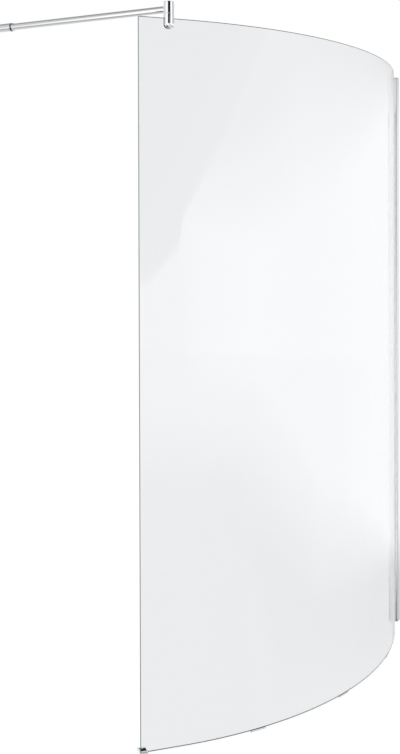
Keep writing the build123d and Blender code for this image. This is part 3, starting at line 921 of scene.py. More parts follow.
class BentSheet(GrownPiece):
    """A flat sheet with arrised edges, bent along the plan of the glass."""

    def __init__(self) -> None:
        """Builds the tree."""
        super().__init__("bent_sheet")
        graph = self.graph
        self.length, self.thickness, self.height = (self.ask(n) for n in ("Length", "Thickness", "Height"))
        self.arris = self.ask("Arris")
        columns = self.ask("Columns", "Int")
        centre = self.ask("Centre", "Vector")
        lean, bend, radius = (self.ask(n) for n in ("Lean", "Bend", "Radius"))
        straight, lift = self.ask("First Straight"), self.ask("Lift")
        face, edge = self.ask("Face Material", "Material"), self.ask("Edge Material", "Material")
        blank = graph.add("GeometryNodeMeshCube")
        graph.put(blank.inputs["Size"], graph.join(self.length, self.thickness, self.height))
        graph.put(blank.inputs["Vertices X"], columns)
        graph.put(blank.inputs["Vertices Y"], 4)
        graph.put(blank.inputs["Vertices Z"], 4)
        broken = graph.add("GeometryNodeSetPosition")
        graph.put(broken.inputs["Geometry"], blank.outputs["Mesh"])
        graph.put(broken.inputs["Position"], self.arrised(columns))
        caught = graph.add("GeometryNodeCaptureAttribute", domain="FACE")
        caught.capture_items.new("BOOLEAN", "On Edge")
        graph.put(caught.inputs["Geometry"], broken.outputs[0])
        depth = graph.math("ABSOLUTE", graph.split(graph.add("GeometryNodeInputPosition").outputs[0])[1])
        rim = graph.math("SUBTRACT", graph.math("MULTIPLY", self.thickness, 0.5),
                         graph.math("MULTIPLY", self.arris, 0.2))
        graph.put(caught.inputs["On Edge"], graph.math("LESS_THAN", depth, rim))
        bent = graph.add("GeometryNodeSetPosition")
        graph.put(bent.inputs["Geometry"], caught.outputs["Geometry"])
        graph.put(bent.inputs["Position"], self.bent(centre, lean, bend, radius, straight, lift))
        self.finish_tree(bent.outputs[0], face, (caught.outputs["On Edge"], edge))

    def arrised(self, columns: bpy.types.NodeSocket) -> bpy.types.NodeSocket:
        """Positions of the flat blank with its edges broken.

        Args:
            columns: How many columns of points the blank has.

        Returns:
            The new position.
        """
        graph = self.graph
        place = graph.split(graph.add("GeometryNodeInputPosition").outputs[0])
        gap = graph.math("DIVIDE", self.length, graph.math("SUBTRACT", columns, 1))
        parts, ends = [], []
        for value, size in zip(place, (self.length, self.thickness, self.height)):
            half = graph.math("MULTIPLY", size, 0.5)
            away, side = graph.math("ABSOLUTE", value), graph.math("SIGN", value)
            at_end = graph.math("GREATER_THAN", away, graph.math("MULTIPLY", half, 0.9995))
            if size is self.length:
                line = graph.math("SUBTRACT", half, graph.math("MULTIPLY", gap, 1.5))
                beside = graph.math("GREATER_THAN", away, line)
                inner = graph.blend(beside, away, graph.math("SUBTRACT", half, self.arris))
            else:
                inner = graph.math("SUBTRACT", half, self.arris)
            parts.append((graph.blend(at_end, inner, half), side, at_end))
            ends.append(at_end)
        count = graph.math("ADD", graph.math("ADD", ends[0], ends[1]), ends[2])
        share = graph.math("DIVIDE", graph.math("SUBTRACT", count, 1.0), graph.math("MAXIMUM", count, 1.0))
        pull = graph.math("MULTIPLY", graph.math("MAXIMUM", share, 0.0), self.arris)
        moved = []
        for away, side, at_end in parts:
            shorter = graph.math("SUBTRACT", away, graph.math("MULTIPLY", pull, at_end))
            moved.append(graph.math("MULTIPLY", shorter, side))
        return graph.join(*moved)

    def direction(self, lean: bpy.types.NodeSocket, along: bool) -> bpy.types.NodeSocket:
        """A plan direction for a lean in radians: along the glass, or square to it."""
        graph = self.graph
        cosine, sine = graph.math("COSINE", lean), graph.math("SINE", lean)
        if along:
            return graph.join(sine, graph.math("MULTIPLY", cosine, -1.0), 0.0)
        return graph.join(cosine, sine, 0.0)

    def bent(self, centre: Value, lean: Value, bend: Value, radius: Value, straight: Value,
             lift: Value) -> bpy.types.NodeSocket:
        """Positions of the blank, carried along the plan.

        Args:
            centre: The bend's centre.
            lean: Lean of the first straight, in radians.
            bend: Angle of the bend, in radians.
            radius: Radius of the bend.
            straight: Length of the first straight.
            lift: Height of the lower edge.

        Returns:
            The new position.
        """
        graph = self.graph
        along, across, up = graph.split(graph.add("GeometryNodeInputPosition").outputs[0])
        run = graph.math("ADD", along, graph.math("MULTIPLY", self.length, 0.5))
        arc = graph.math("MULTIPLY", radius, bend)
        first = graph.math("MINIMUM", run, straight)
        past_first = graph.math("MAXIMUM", graph.math("SUBTRACT", run, straight), 0.0)
        bent_run = graph.math("MINIMUM", past_first, arc)
        last = graph.math("MAXIMUM", graph.math("SUBTRACT", past_first, arc), 0.0)
        here = graph.math("SUBTRACT", lean, graph.math("DIVIDE", bent_run, radius))
        spoke = graph.vector("SCALE", self.direction(here, False), graph.math("ADD", radius, across))
        before = graph.vector("SCALE", self.direction(lean, True), graph.math("SUBTRACT", first, straight))
        after = graph.vector("SCALE", self.direction(here, True), last)
        plan = graph.vector("ADD", graph.vector("ADD", centre, spoke), graph.vector("ADD", before, after))
        level = graph.math("ADD", graph.math("ADD", up, graph.math("MULTIPLY", self.height, 0.5)), lift)
        rise = graph.join(0.0, 0.0, level)
        return graph.vector("ADD", plan, rise)


class BendRow(GrownPiece):
    """A block repeated along the bend, turned with it."""

    def __init__(self) -> None:
        """Builds the tree."""
        super().__init__("bend_row")
        graph = self.graph
        block, count = self.ask("Block", "Object"), self.ask("Count", "Int")
        centre, radius = self.ask("Centre", "Vector"), self.ask("Radius")
        first, step = self.ask("First Lean"), self.ask("Lean Step")
        material = self.ask("Material", "Material")
        points = graph.add("GeometryNodeMeshLine")
        graph.put(points.inputs["Count"], count)
        index = graph.add("GeometryNodeInputIndex").outputs[0]
        lean = graph.math("ADD", first, graph.math("MULTIPLY", index, step))
        spoke = graph.join(graph.math("COSINE", lean), graph.math("SINE", lean), 0.0)
        moved = graph.add("GeometryNodeSetPosition")
        graph.put(moved.inputs["Geometry"], points.outputs["Mesh"])
        graph.put(moved.inputs["Position"], graph.vector("ADD", centre, graph.vector("SCALE", spoke, radius)))
        shape = graph.add("GeometryNodeObjectInfo", transform_space="ORIGINAL")
        graph.put(shape.inputs["Object"], block)
        row = graph.add("GeometryNodeInstanceOnPoints")
        graph.put(row.inputs["Points"], moved.outputs[0])
        graph.put(row.inputs["Instance"], shape.outputs["Geometry"])
        graph.put(row.inputs["Rotation"], graph.join(0.0, 0.0, graph.math("SUBTRACT", lean, math.pi / 2)))
        self.finish_tree(row.outputs[0], material)


# ------------------------------------------------------------ sub-assemblies


@dataclass
class SetScrew:
    """A socket set screw."""

    diameter: float = 5.0 * MM
    chamfer: float = 0.4 * MM
    key: float = 2.5 * MM
    thread_pitch: float = 0.8 * MM
    thread_depth: float = 0.25 * MM

    def solid(self, tip: Vector, end: Vector) -> Solid:
        """The screw between two points.

        Args:
            tip: Centre of its tip.
            end: Centre of its socket end.

        Returns:
            The solid.
        """
        length = (end - tip).length
        outer, root = self.diameter / 2, self.diameter / 2 - self.thread_depth
        outline = [(0.0, 0.0), (outer - self.chamfer, 0.0), (outer, self.chamfer)]
        turns = int((length - 2 * self.chamfer) / self.thread_pitch)
        for turn in range(turns):
            foot = self.chamfer + turn * self.thread_pitch
            outline += [(outer, foot + self.thread_pitch * 0.2), (root, foot + self.thread_pitch * 0.55),
                        (outer, foot + self.thread_pitch * 0.9)]
        outline += [(outer, length - self.chamfer), (outer - self.chamfer, length), (0.0, length)]
        body = Solid.turned(outline, 40)
        socket = Solid.hexagon(Vector((0, 0, length - self.key)), Vector((0, 0, length + MM)), self.key)
        return body.cut(socket).placed(aim(tip, end))


@dataclass
class WallProfile:
    """The outer extrusion on the wall, its cap, lock screws and their covers."""

    width: float = 30.0 * MM
    depth: float = 28.0 * MM
    height: float = 2001.0 * MM
    lock_first: float = 150.0 * MM
    lock_pitch: float = 850.0 * MM
    lock_count: int = 3
    lock_depth: float = 23.0 * MM
    cavity_left: float = -12.0 * MM
    screw_proud: float = 3.0 * MM
    cover_diameter: float = 11.0 * MM
    cover_thickness: float = 4.6 * MM
    cover_round: float = 2.4 * MM
    edge_break: float = 0.25 * MM

    def build(self, rows: FastenerRow) -> None:
        """Makes the pieces of the wall profile.

        Args:
            rows: The tree that repeats fasteners.
        """
        channel = Solid.of_node("wall_channel").softened(self.edge_break).piece("wall_channel_body",
                                                                                ALUMINIUM)
        attach(channel, Body.WALL_PROFILE, ALUMINIUM, "wall_channel")
        cap = Solid.of_node("channel_top_cap").softened(self.edge_break).piece("channel_cap", GREY_PLASTIC)
        attach(cap, Body.WALL_PROFILE, GREY_PLASTIC, "channel_top_cap")
        side = -self.width / 2
        screw = SetScrew().solid(Vector((self.cavity_left - 0.05 * MM, -self.lock_depth, 0.0)),
                                 Vector((side - self.screw_proud, -self.lock_depth, 0.0)))
        self.row(rows, "lock_screws", screw, STEEL, "channel_lock_screws")
        self.row(rows, "lock_covers", self.cover(side), CHROME, "lock_screw_covers")

    def row(self, rows: FastenerRow, name: str, solid: Solid, finish: Finish, node: str) -> None:
        """Repeats one fastener up the channel and rides it on the profile."""
        template = solid.piece(name + "_one", finish)
        values = {"Fastener": template, "Count": self.lock_count, "First": (0.0, 0.0, self.lock_first),
                  "Pitch": (0.0, 0.0, self.lock_pitch), "Material": finish.material()}
        made = rows.make(name, values)
        discard([template])
        attach(made, Body.WALL_PROFILE, finish, node)

    def cover(self, side: float) -> Solid:
        """The domed snap cover of one lock screw, hollow behind.

        Args:
            side: X of the channel's side that it sits on.

        Returns:
            The solid.
        """
        radius, thick = self.cover_diameter / 2, self.cover_thickness
        hollow, hollow_depth = 2.55 * MM, 3.3 * MM
        outline = rounded([(0.0, hollow_depth), (hollow, hollow_depth), (hollow, 0.0),
                           (radius, 0.0, 0.2 * MM),
                           (radius, thick, self.cover_round), (0.0, thick)], 8)
        start = Vector((side, -self.lock_depth, 0.0))
        return Solid.turned(outline, 64).placed(aim(start, start - Vector((thick, 0.0, 0.0))))


@dataclass
class GlassScreen:
    """The glass, the inner channel that holds it and the packers under it."""

    plan: GlassPlan = PLAN
    thickness: float = 8.0 * MM
    height: float = 1995.0 * MM
    lift: float = 5.0 * MM
    arris: float = 0.8 * MM
    columns: int = 221
    slot_depth: float = 15.0 * MM
    gasket_foot: float = 2.0 * MM
    gasket_top: float = 2000.4 * MM
    gasket_thickness: float = 1.6 * MM
    bead_swell: float = 0.8 * MM
    bead_front: float = 3.0 * MM
    packer: tuple[float, float] = (50.0 * MM, 7.0 * MM)
    packer_shares: tuple[float, float, int] = (0.2, 0.3, 3)

    def build(self) -> None:
        """Makes the pieces of the glass screen."""
        sheet = BentSheet().make("glass_sheet", {
            "Length": self.plan.length, "Thickness": self.thickness, "Height": self.height,
            "Arris": self.arris, "Columns": self.columns,
            "Centre": self.plan.centre, "Lean": math.radians(self.plan.wall_lean),
            "Bend": math.radians(self.plan.bend), "Radius": self.plan.radius,
            "First Straight": self.plan.in_slot + self.plan.wall_straight, "Lift": self.lift,
            "Face Material": GLASS.material(), "Edge Material": GLASS_EDGE.material(),
        }, smooth_angle=20.0)
        attach(sheet, Body.SCREEN, GLASS, "glass_panel")
        for side, name in ((1, "gasket_outer"), (-1, "gasket_inner")):
            attach(self.gasket(side).piece(name + "_seal", CLEAR_SEAL), Body.SCREEN, CLEAR_SEAL, name)
        self.packers()
        dress(ALUMINIUM, "glass_channel")
        dress(GREY_PLASTIC, "glass_channel_plugs")
        dress(CLEAR_SEAL, "edge_buffer")

    def gasket(self, side: int) -> Solid:
        """One seal in the slot, with a rounded bead in front of the channel.

        Args:
            side: 1 for the convex side of the glass, -1 for the other.

        Returns:
            The solid.
        """
        inner = self.thickness / 2
        outer = inner + self.gasket_thickness
        front = self.slot_depth + 1.8 * MM
        tip = self.slot_depth + self.bead_front
        corners = [(self.slot_depth - self.plan.in_slot, inner), (self.slot_depth - self.plan.in_slot, outer),
                   (front, outer), (front, outer + self.bead_swell, 0.3 * MM),
                   (tip, outer + self.bead_swell, 0.5 * MM), (tip, inner, 0.3 * MM)]
        outline = [(along, side * across) for along, across in rounded(corners, 4)]
        floor = Vector((*self.plan.nose, 0.0)) - self.plan.heading(self.plan.wall_lean) * self.slot_depth
        seat = self.plan.frame_at(floor, self.plan.wall_lean)
        return Solid.prism(outline, self.gasket_foot, self.gasket_top).placed(seat)

    def packers(self) -> None:
        """Repeats the setting block along the bend."""
        length, width = self.packer
        block = Solid.box((-length / 2, -width / 2, 0.0), (length / 2, width / 2, self.lift))
        template = block.softened(0.5 * MM, 3).piece("packer_one", CLEAR_PLASTIC)
        first, step, count = self.packer_shares
        made = BendRow().make("setting_blocks", {
            "Block": template, "Count": count, "Centre": self.plan.centre, "Radius": self.plan.radius,
            "First Lean": math.radians(self.plan.wall_lean - first * self.plan.bend),
            "Lean Step": -math.radians(step * self.plan.bend), "Material": CLEAR_PLASTIC.material(),
        })
        discard([template])
        attach(made, Body.SCREEN, CLEAR_PLASTIC, "glass_packers")


@dataclass
class FloorBracket:
    """The slotted block under the free corner of the glass."""

    plan: GlassPlan = PLAN
    under_glass: float = 17.0 * MM
    past_edge: float = 7.0 * MM
    width: float = 35.0 * MM
    height: float = 13.0 * MM
    base: float = 4.0 * MM
    round_radius: float = 1.2 * MM
    slot_half: float = 10.0 * MM
    slot_end: float = 1.5 * MM
    hole: tuple[float, float, float] = (4.5 * MM, 8.6 * MM, 2.0 * MM)
    screw_height: float = 8.8 * MM
    screw_length: float = 6.0 * MM

    def build(self) -> None:
        """Makes the pieces of the floor bracket."""
        half, past = self.width / 2, MM
        hole_x = (self.slot_end - self.under_glass) / 2
        plan_outline = rounded([(-self.under_glass, -half, self.round_radius),
                                (self.past_edge, -half, self.round_radius),
                                (self.past_edge, half, self.round_radius),
                                (-self.under_glass, half, self.round_radius)], 6)
        body = Solid.prism(plan_outline, 0.0, self.height)
        top = [edge for edge in body.mesh.edges if all(abs(v.co.z - self.height) < 1e-6 for v in edge.verts)]
        bmesh.ops.bevel(body.mesh, geom=top, offset=self.round_radius * 0.98, offset_type="OFFSET",
                        segments=5,
                        profile=0.5, affect="EDGES")
        diameter, sink, sink_depth = self.hole
        slot = Solid.box((-self.under_glass - past, -self.slot_half, self.base),
                         (self.slot_end, self.slot_half, self.height + past))
        shank = Solid.rod(Vector((hole_x, 0, -past)), Vector((hole_x, 0, self.base + past)), diameter,
                          segments=40)
        cone = Solid.rod(Vector((hole_x, 0, self.base - sink_depth)),
                         Vector((hole_x, 0, self.base + 0.01 * MM)), diameter, sink, 40)
        tapped = Solid.rod(Vector((hole_x, -half - past, self.screw_height)),
                           Vector((hole_x, 0, self.screw_height)), TAPPED_HOLE, segments=40)
        seat = self.plan.frame_at(self.plan.free_edge, self.plan.free_lean)
        block = body.cut(slot, shank, cone, tapped).softened(0.2 * MM, 2, 50.0).placed(seat)
        attach(block.piece("floor_bracket_block", CHROME), Body.SCREEN, CHROME, "floor_bracket")
        tip = Vector((hole_x, -self.slot_half, self.screw_height))
        screw = SetScrew().solid(tip, tip - Vector((0.0, self.screw_length, 0.0))).placed(seat)
        attach(screw.piece("bracket_set_screw", STEEL), Body.SCREEN, STEEL, "floor_bracket_screw")
        rubber = Solid.of_node("floor_bracket_liner").softened(0.4 * MM)
        attach(rubber.piece("bracket_rubber", BLACK_RUBBER), Body.SCREEN, BLACK_RUBBER, "floor_bracket_liner")


@dataclass
class GlassClamp:
    """The fork on the glass: jaws, pads and screws."""

    plan: GlassPlan = PLAN
    inset: float = 87.0 * MM
    diameter: float = 30.0 * MM
    foot: float = 1971.0 * MM
    top: float = 2011.0 * MM
    dome: float = 13.0 * MM
    slot: tuple[float, float] = (-7.0 * MM, 5.3 * MM)
    slot_top: float = 2001.0 * MM
    pivot_hole: float = 6.1 * MM
    pivot_head_hole: float = 10.6 * MM
    pivot_ledge: float = 2005.3 * MM
    screw_first: float = 1983.0 * MM
    screw_pitch: float = 11.0 * MM
    screw_span: tuple[float, float] = (-6.8 * MM, -13.8 * MM)

    @property
    def axis(self) -> Vector:
        """The clamp's axis in plan."""
        return self.plan.free_edge - self.plan.heading(self.plan.free_lean) * self.inset

    def build(self, rows: FastenerRow) -> None:
        """Makes the pieces of the fork.

        Args:
            rows: The tree that repeats fasteners.
        """
        seat = self.plan.frame_at(self.axis, self.plan.free_lean)
        radius, past = self.diameter / 2, MM
        outline = rounded([(0.0, self.foot), (radius, self.foot, self.dome), (radius, self.top, 0.3 * MM),
                           (0.0, self.top)], 14)
        low, high = self.slot
        slot = Solid.box((-self.diameter, low, self.foot - past), (self.diameter, high, self.slot_top))
        head_hole = Solid.rod(Vector((0, 0, self.slot_top - past)), Vector((0, 0, self.pivot_ledge)),
                              self.pivot_head_hole)
        pivot = Solid.rod(Vector((0, 0, self.pivot_ledge - past)), Vector((0, 0, self.top + past)),
                          self.pivot_hole)
        levels = [self.screw_first, self.screw_first + self.screw_pitch]
        taps = [Solid.rod(Vector((0, -self.diameter, z)), Vector((0, low + past, z)), TAPPED_HOLE,
                          segments=40) for z in levels]
        fork = Solid.turned(outline, 120).cut(slot, head_hole, pivot, *taps).softened(0.25 * MM, 2,
                                                                                      45.0).placed(seat)
        attach(fork.piece("clamp_fork_jaws", CHROME), Body.SCREEN, CHROME, "clamp_fork")
        tip, end = (Vector((0.0, depth, 0.0)) for depth in self.screw_span)
        template = SetScrew().solid(tip, end).placed(seat).piece("clamp_screw_one", STEEL)
        values = {"Fastener": template, "Count": 2, "First": (0.0, 0.0, self.screw_first),
                  "Pitch": (0.0, 0.0, self.screw_pitch), "Material": STEEL.material()}
        made = rows.make("clamp_set_screws", values)
        discard([template])
        attach(made, Body.SCREEN, STEEL, "clamp_screws")
        dress(PAD_RUBBER, "clamp_pad_outer", "clamp_pad_inner")
        dress(STEEL, "clamp_pressure_plate")


@dataclass
class StayArm:
    """The swivelling head on the clamp and the tube to the side wall."""

    clamp: GlassClamp = field(default_factory=GlassClamp)
    foot: float = 2012.0 * MM
    top: float = 2045.0 * MM
    level: float = 2024.5 * MM
    reach: float = 555.0 * MM
    top_round: float = 1.5 * MM
    tube: float = 20.0 * MM
    tube_bore: float = 17.0 * MM
    socket_floor: float = 5.0 * MM
    wall_gap: float = 14.0 * MM
    screw: tuple[float, float, float] = (5.0 * MM, 8.5 * MM, 5.0 * MM)
    screw_ledge: float = 6.0 * MM
    screw_reach: float = 22.0 * MM
    key: tuple[float, float] = (4.0 * MM, 2.5 * MM)
    slot_span: tuple[float, float] = (21.0 * MM, 42.0 * MM)
    slot_width: float = 5.4 * MM

    def along(self, distance: float) -> Vector:
        """A point on the tube's axis, measured from the clamp's axis."""
        return Vector((self.clamp.axis.x - distance, self.clamp.axis.y, self.level))

    def from_wall(self, distance: float) -> Vector:
        """A point on the tube's axis, measured from the side wall."""
        return self.along(self.reach - distance)

    def build(self) -> None:
        """Makes the pieces of the arm."""
        attach(self.head().piece("clamp_head_body", CHROME), Body.ARM, CHROME, "clamp_head")
        attach(self.tube_solid().piece("stay_tube", CHROME), Body.ARM, CHROME, "arm_tube")
        attach(self.cap_screw().piece("arm_cap_screw", STEEL), Body.ARM, STEEL, "arm_screw")
        cover = Solid.of_node("arm_screw_cover").softened(0.1 * MM, 2, 50.0).piece("cap_screw_cover", CHROME)
        attach(cover, Body.ARM, CHROME, "arm_screw_cover")
        dress(WHITE_PLASTIC, "clamp_thrust_washer")
        dress(STEEL, "clamp_pivot_screw")
        dress(ZINC, "arm_end_plug")

    def head(self) -> Solid:
        """The turned head with its tube socket and screw recess."""
        radius, past = self.clamp.diameter / 2, MM
        outline = rounded([(0.0, self.foot), (radius, self.foot, 0.3 * MM),
                           (radius, self.top, self.top_round), (0.0, self.top)], 6)
        shank, head, _ = self.screw
        near, far = self.along(-self.clamp.diameter), self.along(self.clamp.diameter)
        socket = Solid.rod(self.along(self.socket_floor), far, self.tube + 0.06 * MM)
        recess = Solid.rod(near, self.along(-self.screw_ledge), head + 0.5 * MM)
        hole = Solid.rod(self.along(-self.screw_ledge - past), self.along(self.socket_floor + past),
                         shank + 0.1 * MM)
        pivot = Solid.rod(Vector((0, 0, self.foot - past)), Vector((0, 0, self.foot + 7.3 * MM)), 6.1 * MM)
        axis = Matrix.Translation((self.clamp.axis.x, self.clamp.axis.y, 0.0))
        body = Solid.turned(outline, 120).placed(axis)
        return body.cut(socket, recess, hole, pivot.placed(axis)).softened(0.25 * MM, 2, 45.0)

    def tube_solid(self) -> Solid:
        """The round tube with its slot underneath at the wall end."""
        start, end = self.along(self.socket_floor + 0.1 * MM), self.from_wall(self.wall_gap)
        outer, inner = self.tube / 2, self.tube_bore / 2
        length = (end - start).length
        ring = rounded([(inner, 0.0, 0.2 * MM), (outer, 0.0, 0.3 * MM), (outer, length, 0.3 * MM),
                        (inner, length, 0.2 * MM)], 3)
        tube = Solid.turned(ring, 120).placed(aim(start, end))
        near, far = (self.from_wall(distance) for distance in self.slot_span)
        half, down = self.slot_width / 2, Vector((0.0, 0.0, self.tube))
        ends = (near.x + half, far.x - half)
        outline = [(ends[0] - half * math.sin(turn), half * math.cos(turn)) for turn in
                   (math.pi * step / 12 for step in range(13))]
        outline += [(ends[1] + half * math.sin(turn), -half * math.cos(turn)) for turn in
                    (math.pi * step / 12 for step in range(13))]
        slot = Solid.prism([(x, y + near.y) for x, y in outline], self.level - down.z, self.level)
        return tube.cut(slot)

    def cap_screw(self) -> Solid:
        """The socket cap screw that pulls the tube into the head."""
        shank, head, tall = self.screw
        key, key_depth = self.key
        head_end = -self.screw_ledge - tall
        length = self.screw_reach - head_end
        outline = rounded([(0.0, 0.0), (head / 2, 0.0, 0.4 * MM), (head / 2, tall), (shank / 2, tall),
                           (shank / 2, length), (0.0, length)], 4)
        socket = Solid.hexagon(Vector((0, 0, -MM)), Vector((0, 0, key_depth)), key)
        return Solid.turned(outline, 64).cut(socket).placed(aim(self.along(head_end), self.along(0.0)))


@dataclass
class CoverSleeve:
    """The sliding cover at the wall end of the arm, and the fitting under it."""

    arm: StayArm = field(default_factory=StayArm)
    diameter: float = 25.0 * MM
    bore: float = 22.0 * MM
    sleeve_span: tuple[float, float] = (0.2 * MM, 28.0 * MM)
    collar_end: float = 37.0 * MM
    seal_end: float = 42.5 * MM
    bush_end: float = 48.0 * MM
    bush_diameter: float = 22.0 * MM
    bush_tail: float = 21.0 * MM
    bush_bore: float = 20.1 * MM
    spigot: float = 5.0 * MM
    rim: float = 0.3 * MM
    grub_at: float = 36.0 * MM
    grub_span: tuple[float, float] = (5.0 * MM, 9.4 * MM)

    def build(self) -> None:
        """Makes the pieces of the sleeve and of the wall fitting."""
        start, end = self.sleeve_span
        half, bore, rim = self.diameter / 2, self.bore / 2, self.rim
        tail, running = self.bush_tail / 2, 0.05 * MM
        sleeve = rounded([(bore, start), (half, start, rim), (half, end, rim), (bore, end)], 4)
        collar = rounded([(tail + running, end - self.spigot), (bore - running, end - self.spigot),
                          (bore - running, end),
                          (half, end, rim), (half, self.collar_end, rim),
                          (tail + running, self.collar_end)], 4)
        seal = rounded([(tail + running, self.collar_end), (half - 0.2 * MM, self.collar_end, 0.4 * MM),
                        (self.bush_diameter / 2 + 0.3 * MM, self.seal_end, 0.4 * MM),
                        (tail + running, self.seal_end)], 4)
        bush = rounded([(self.bush_bore / 2, end - self.spigot), (tail, end - self.spigot),
                        (tail, self.seal_end),
                        (self.bush_diameter / 2, self.seal_end),
                        (self.bush_diameter / 2, self.bush_end, 0.6 * MM),
                        (self.bush_bore / 2, self.bush_end, 0.2 * MM)], 4)
        pieces = ((sleeve, "cover_sleeve", CHROME, "wall_sleeve"),
                  (collar, "cover_collar", CHROME, "sleeve_collar"),
                  (seal, "cover_seal", GLOSSY_SEAL, "sleeve_seal"),
                  (bush, "cover_bush", CHROME, "sleeve_bush"))
        for outline, name, finish, node in pieces:
            ring = Solid.turned(outline, 96).placed(aim(self.arm.from_wall(0.0), self.arm.from_wall(1.0)))
            attach(ring.piece(name, finish), Body.SLEEVE, finish, node)
        boss = Solid.of_node("wall_boss").piece("wall_spigot", ZINC)
        attach(boss, Body.WALL_FITTING, ZINC, "wall_boss")
        axis = self.arm.from_wall(self.grub_at)
        tip, outside = (axis - Vector((0.0, 0.0, drop)) for drop in self.grub_span)
        grub = SetScrew().solid(tip, outside).piece("spigot_set_screw", STEEL)
        attach(grub, Body.WALL_FITTING, STEEL, "boss_grub_screw")


# -------------------------------------------------------------------- studio


@dataclass(frozen=True)
class StudioFloor(Finish):
    """A pale floor that shows white and keeps soft shadows."""

    glow: float = 0.90
    pale: float = 0.16
    through: float = 0.985
    bounce: float = 0.8

    def shade(self, graph: NodeGraph) -> bpy.types.NodeSocket:
        """Adds the floor's nodes and returns its shader."""
        rays = graph.add("ShaderNodeLightPath")
        speckle = self.noise(graph, (3.0, 3.0, 3.0), 2.0)
        reflected = graph.math("MINIMUM", rays.outputs["Glossy Depth"], 1.0)
        bounce, pale = (graph.add("ShaderNodeBsdfDiffuse") for _ in range(2))
        graph.put(bounce.inputs["Color"], rgba((self.bounce,) * 3))
        shades = (rgba((self.pale,) * 3, 0.97), rgba((self.pale,) * 3))
        graph.put(pale.inputs["Color"], graph.tint(speckle, *shades))
        glow = graph.add("ShaderNodeEmission")
        graph.put(glow.inputs["Strength"], self.glow)
        lit = graph.add("ShaderNodeAddShader")
        graph.put(lit.inputs[0], pale.outputs[0])
        graph.put(lit.inputs[1], glow.outputs[0])
        through = graph.add("ShaderNodeEmission")
        graph.put(through.inputs["Strength"], self.through)
        solid = graph.shader_mix(rays.outputs["Is Camera Ray"], bounce.outputs[0], lit.outputs[0])
        solid = graph.shader_mix(rays.outputs["Is Transmission Ray"], solid, through.outputs[0])
        open_way = graph.add("ShaderNodeBsdfTransparent")
        return graph.shader_mix(reflected, solid, open_way.outputs[0])


@dataclass(frozen=True)
class Panel:
    """A part of the studio of one brightness, by compass direction and height in degrees."""

    compass: tuple[float, float]
    height: tuple[float, float]
    level: float
    softness: tuple[float, float] = (3.0, 3.0)

    def over(self, graph: NodeGraph, compass: Value, height: Value, level: Value) -> bpy.types.NodeSocket:
        """Lays the panel over what is there.

        Args:
            graph: The world's nodes.
            compass: The ray's direction round the compass.
            height: The ray's height.
            level: The brightness so far.

        Returns:
            The brightness with the panel.
        """
        cover: Value = None
        for value, (low, high), soft in zip((compass, height), (self.compass, self.height), self.softness):
            past_low = graph.remap(value, low - soft, low + soft, 0.0, 1.0, smooth=True)
            under_high = graph.remap(value, high - soft, high + soft, 1.0, 0.0, smooth=True)
            both = graph.math("MULTIPLY", past_low, under_high)
            cover = both if cover is None else graph.math("MULTIPLY", cover, both)
        return graph.blend(cover, level, self.level)


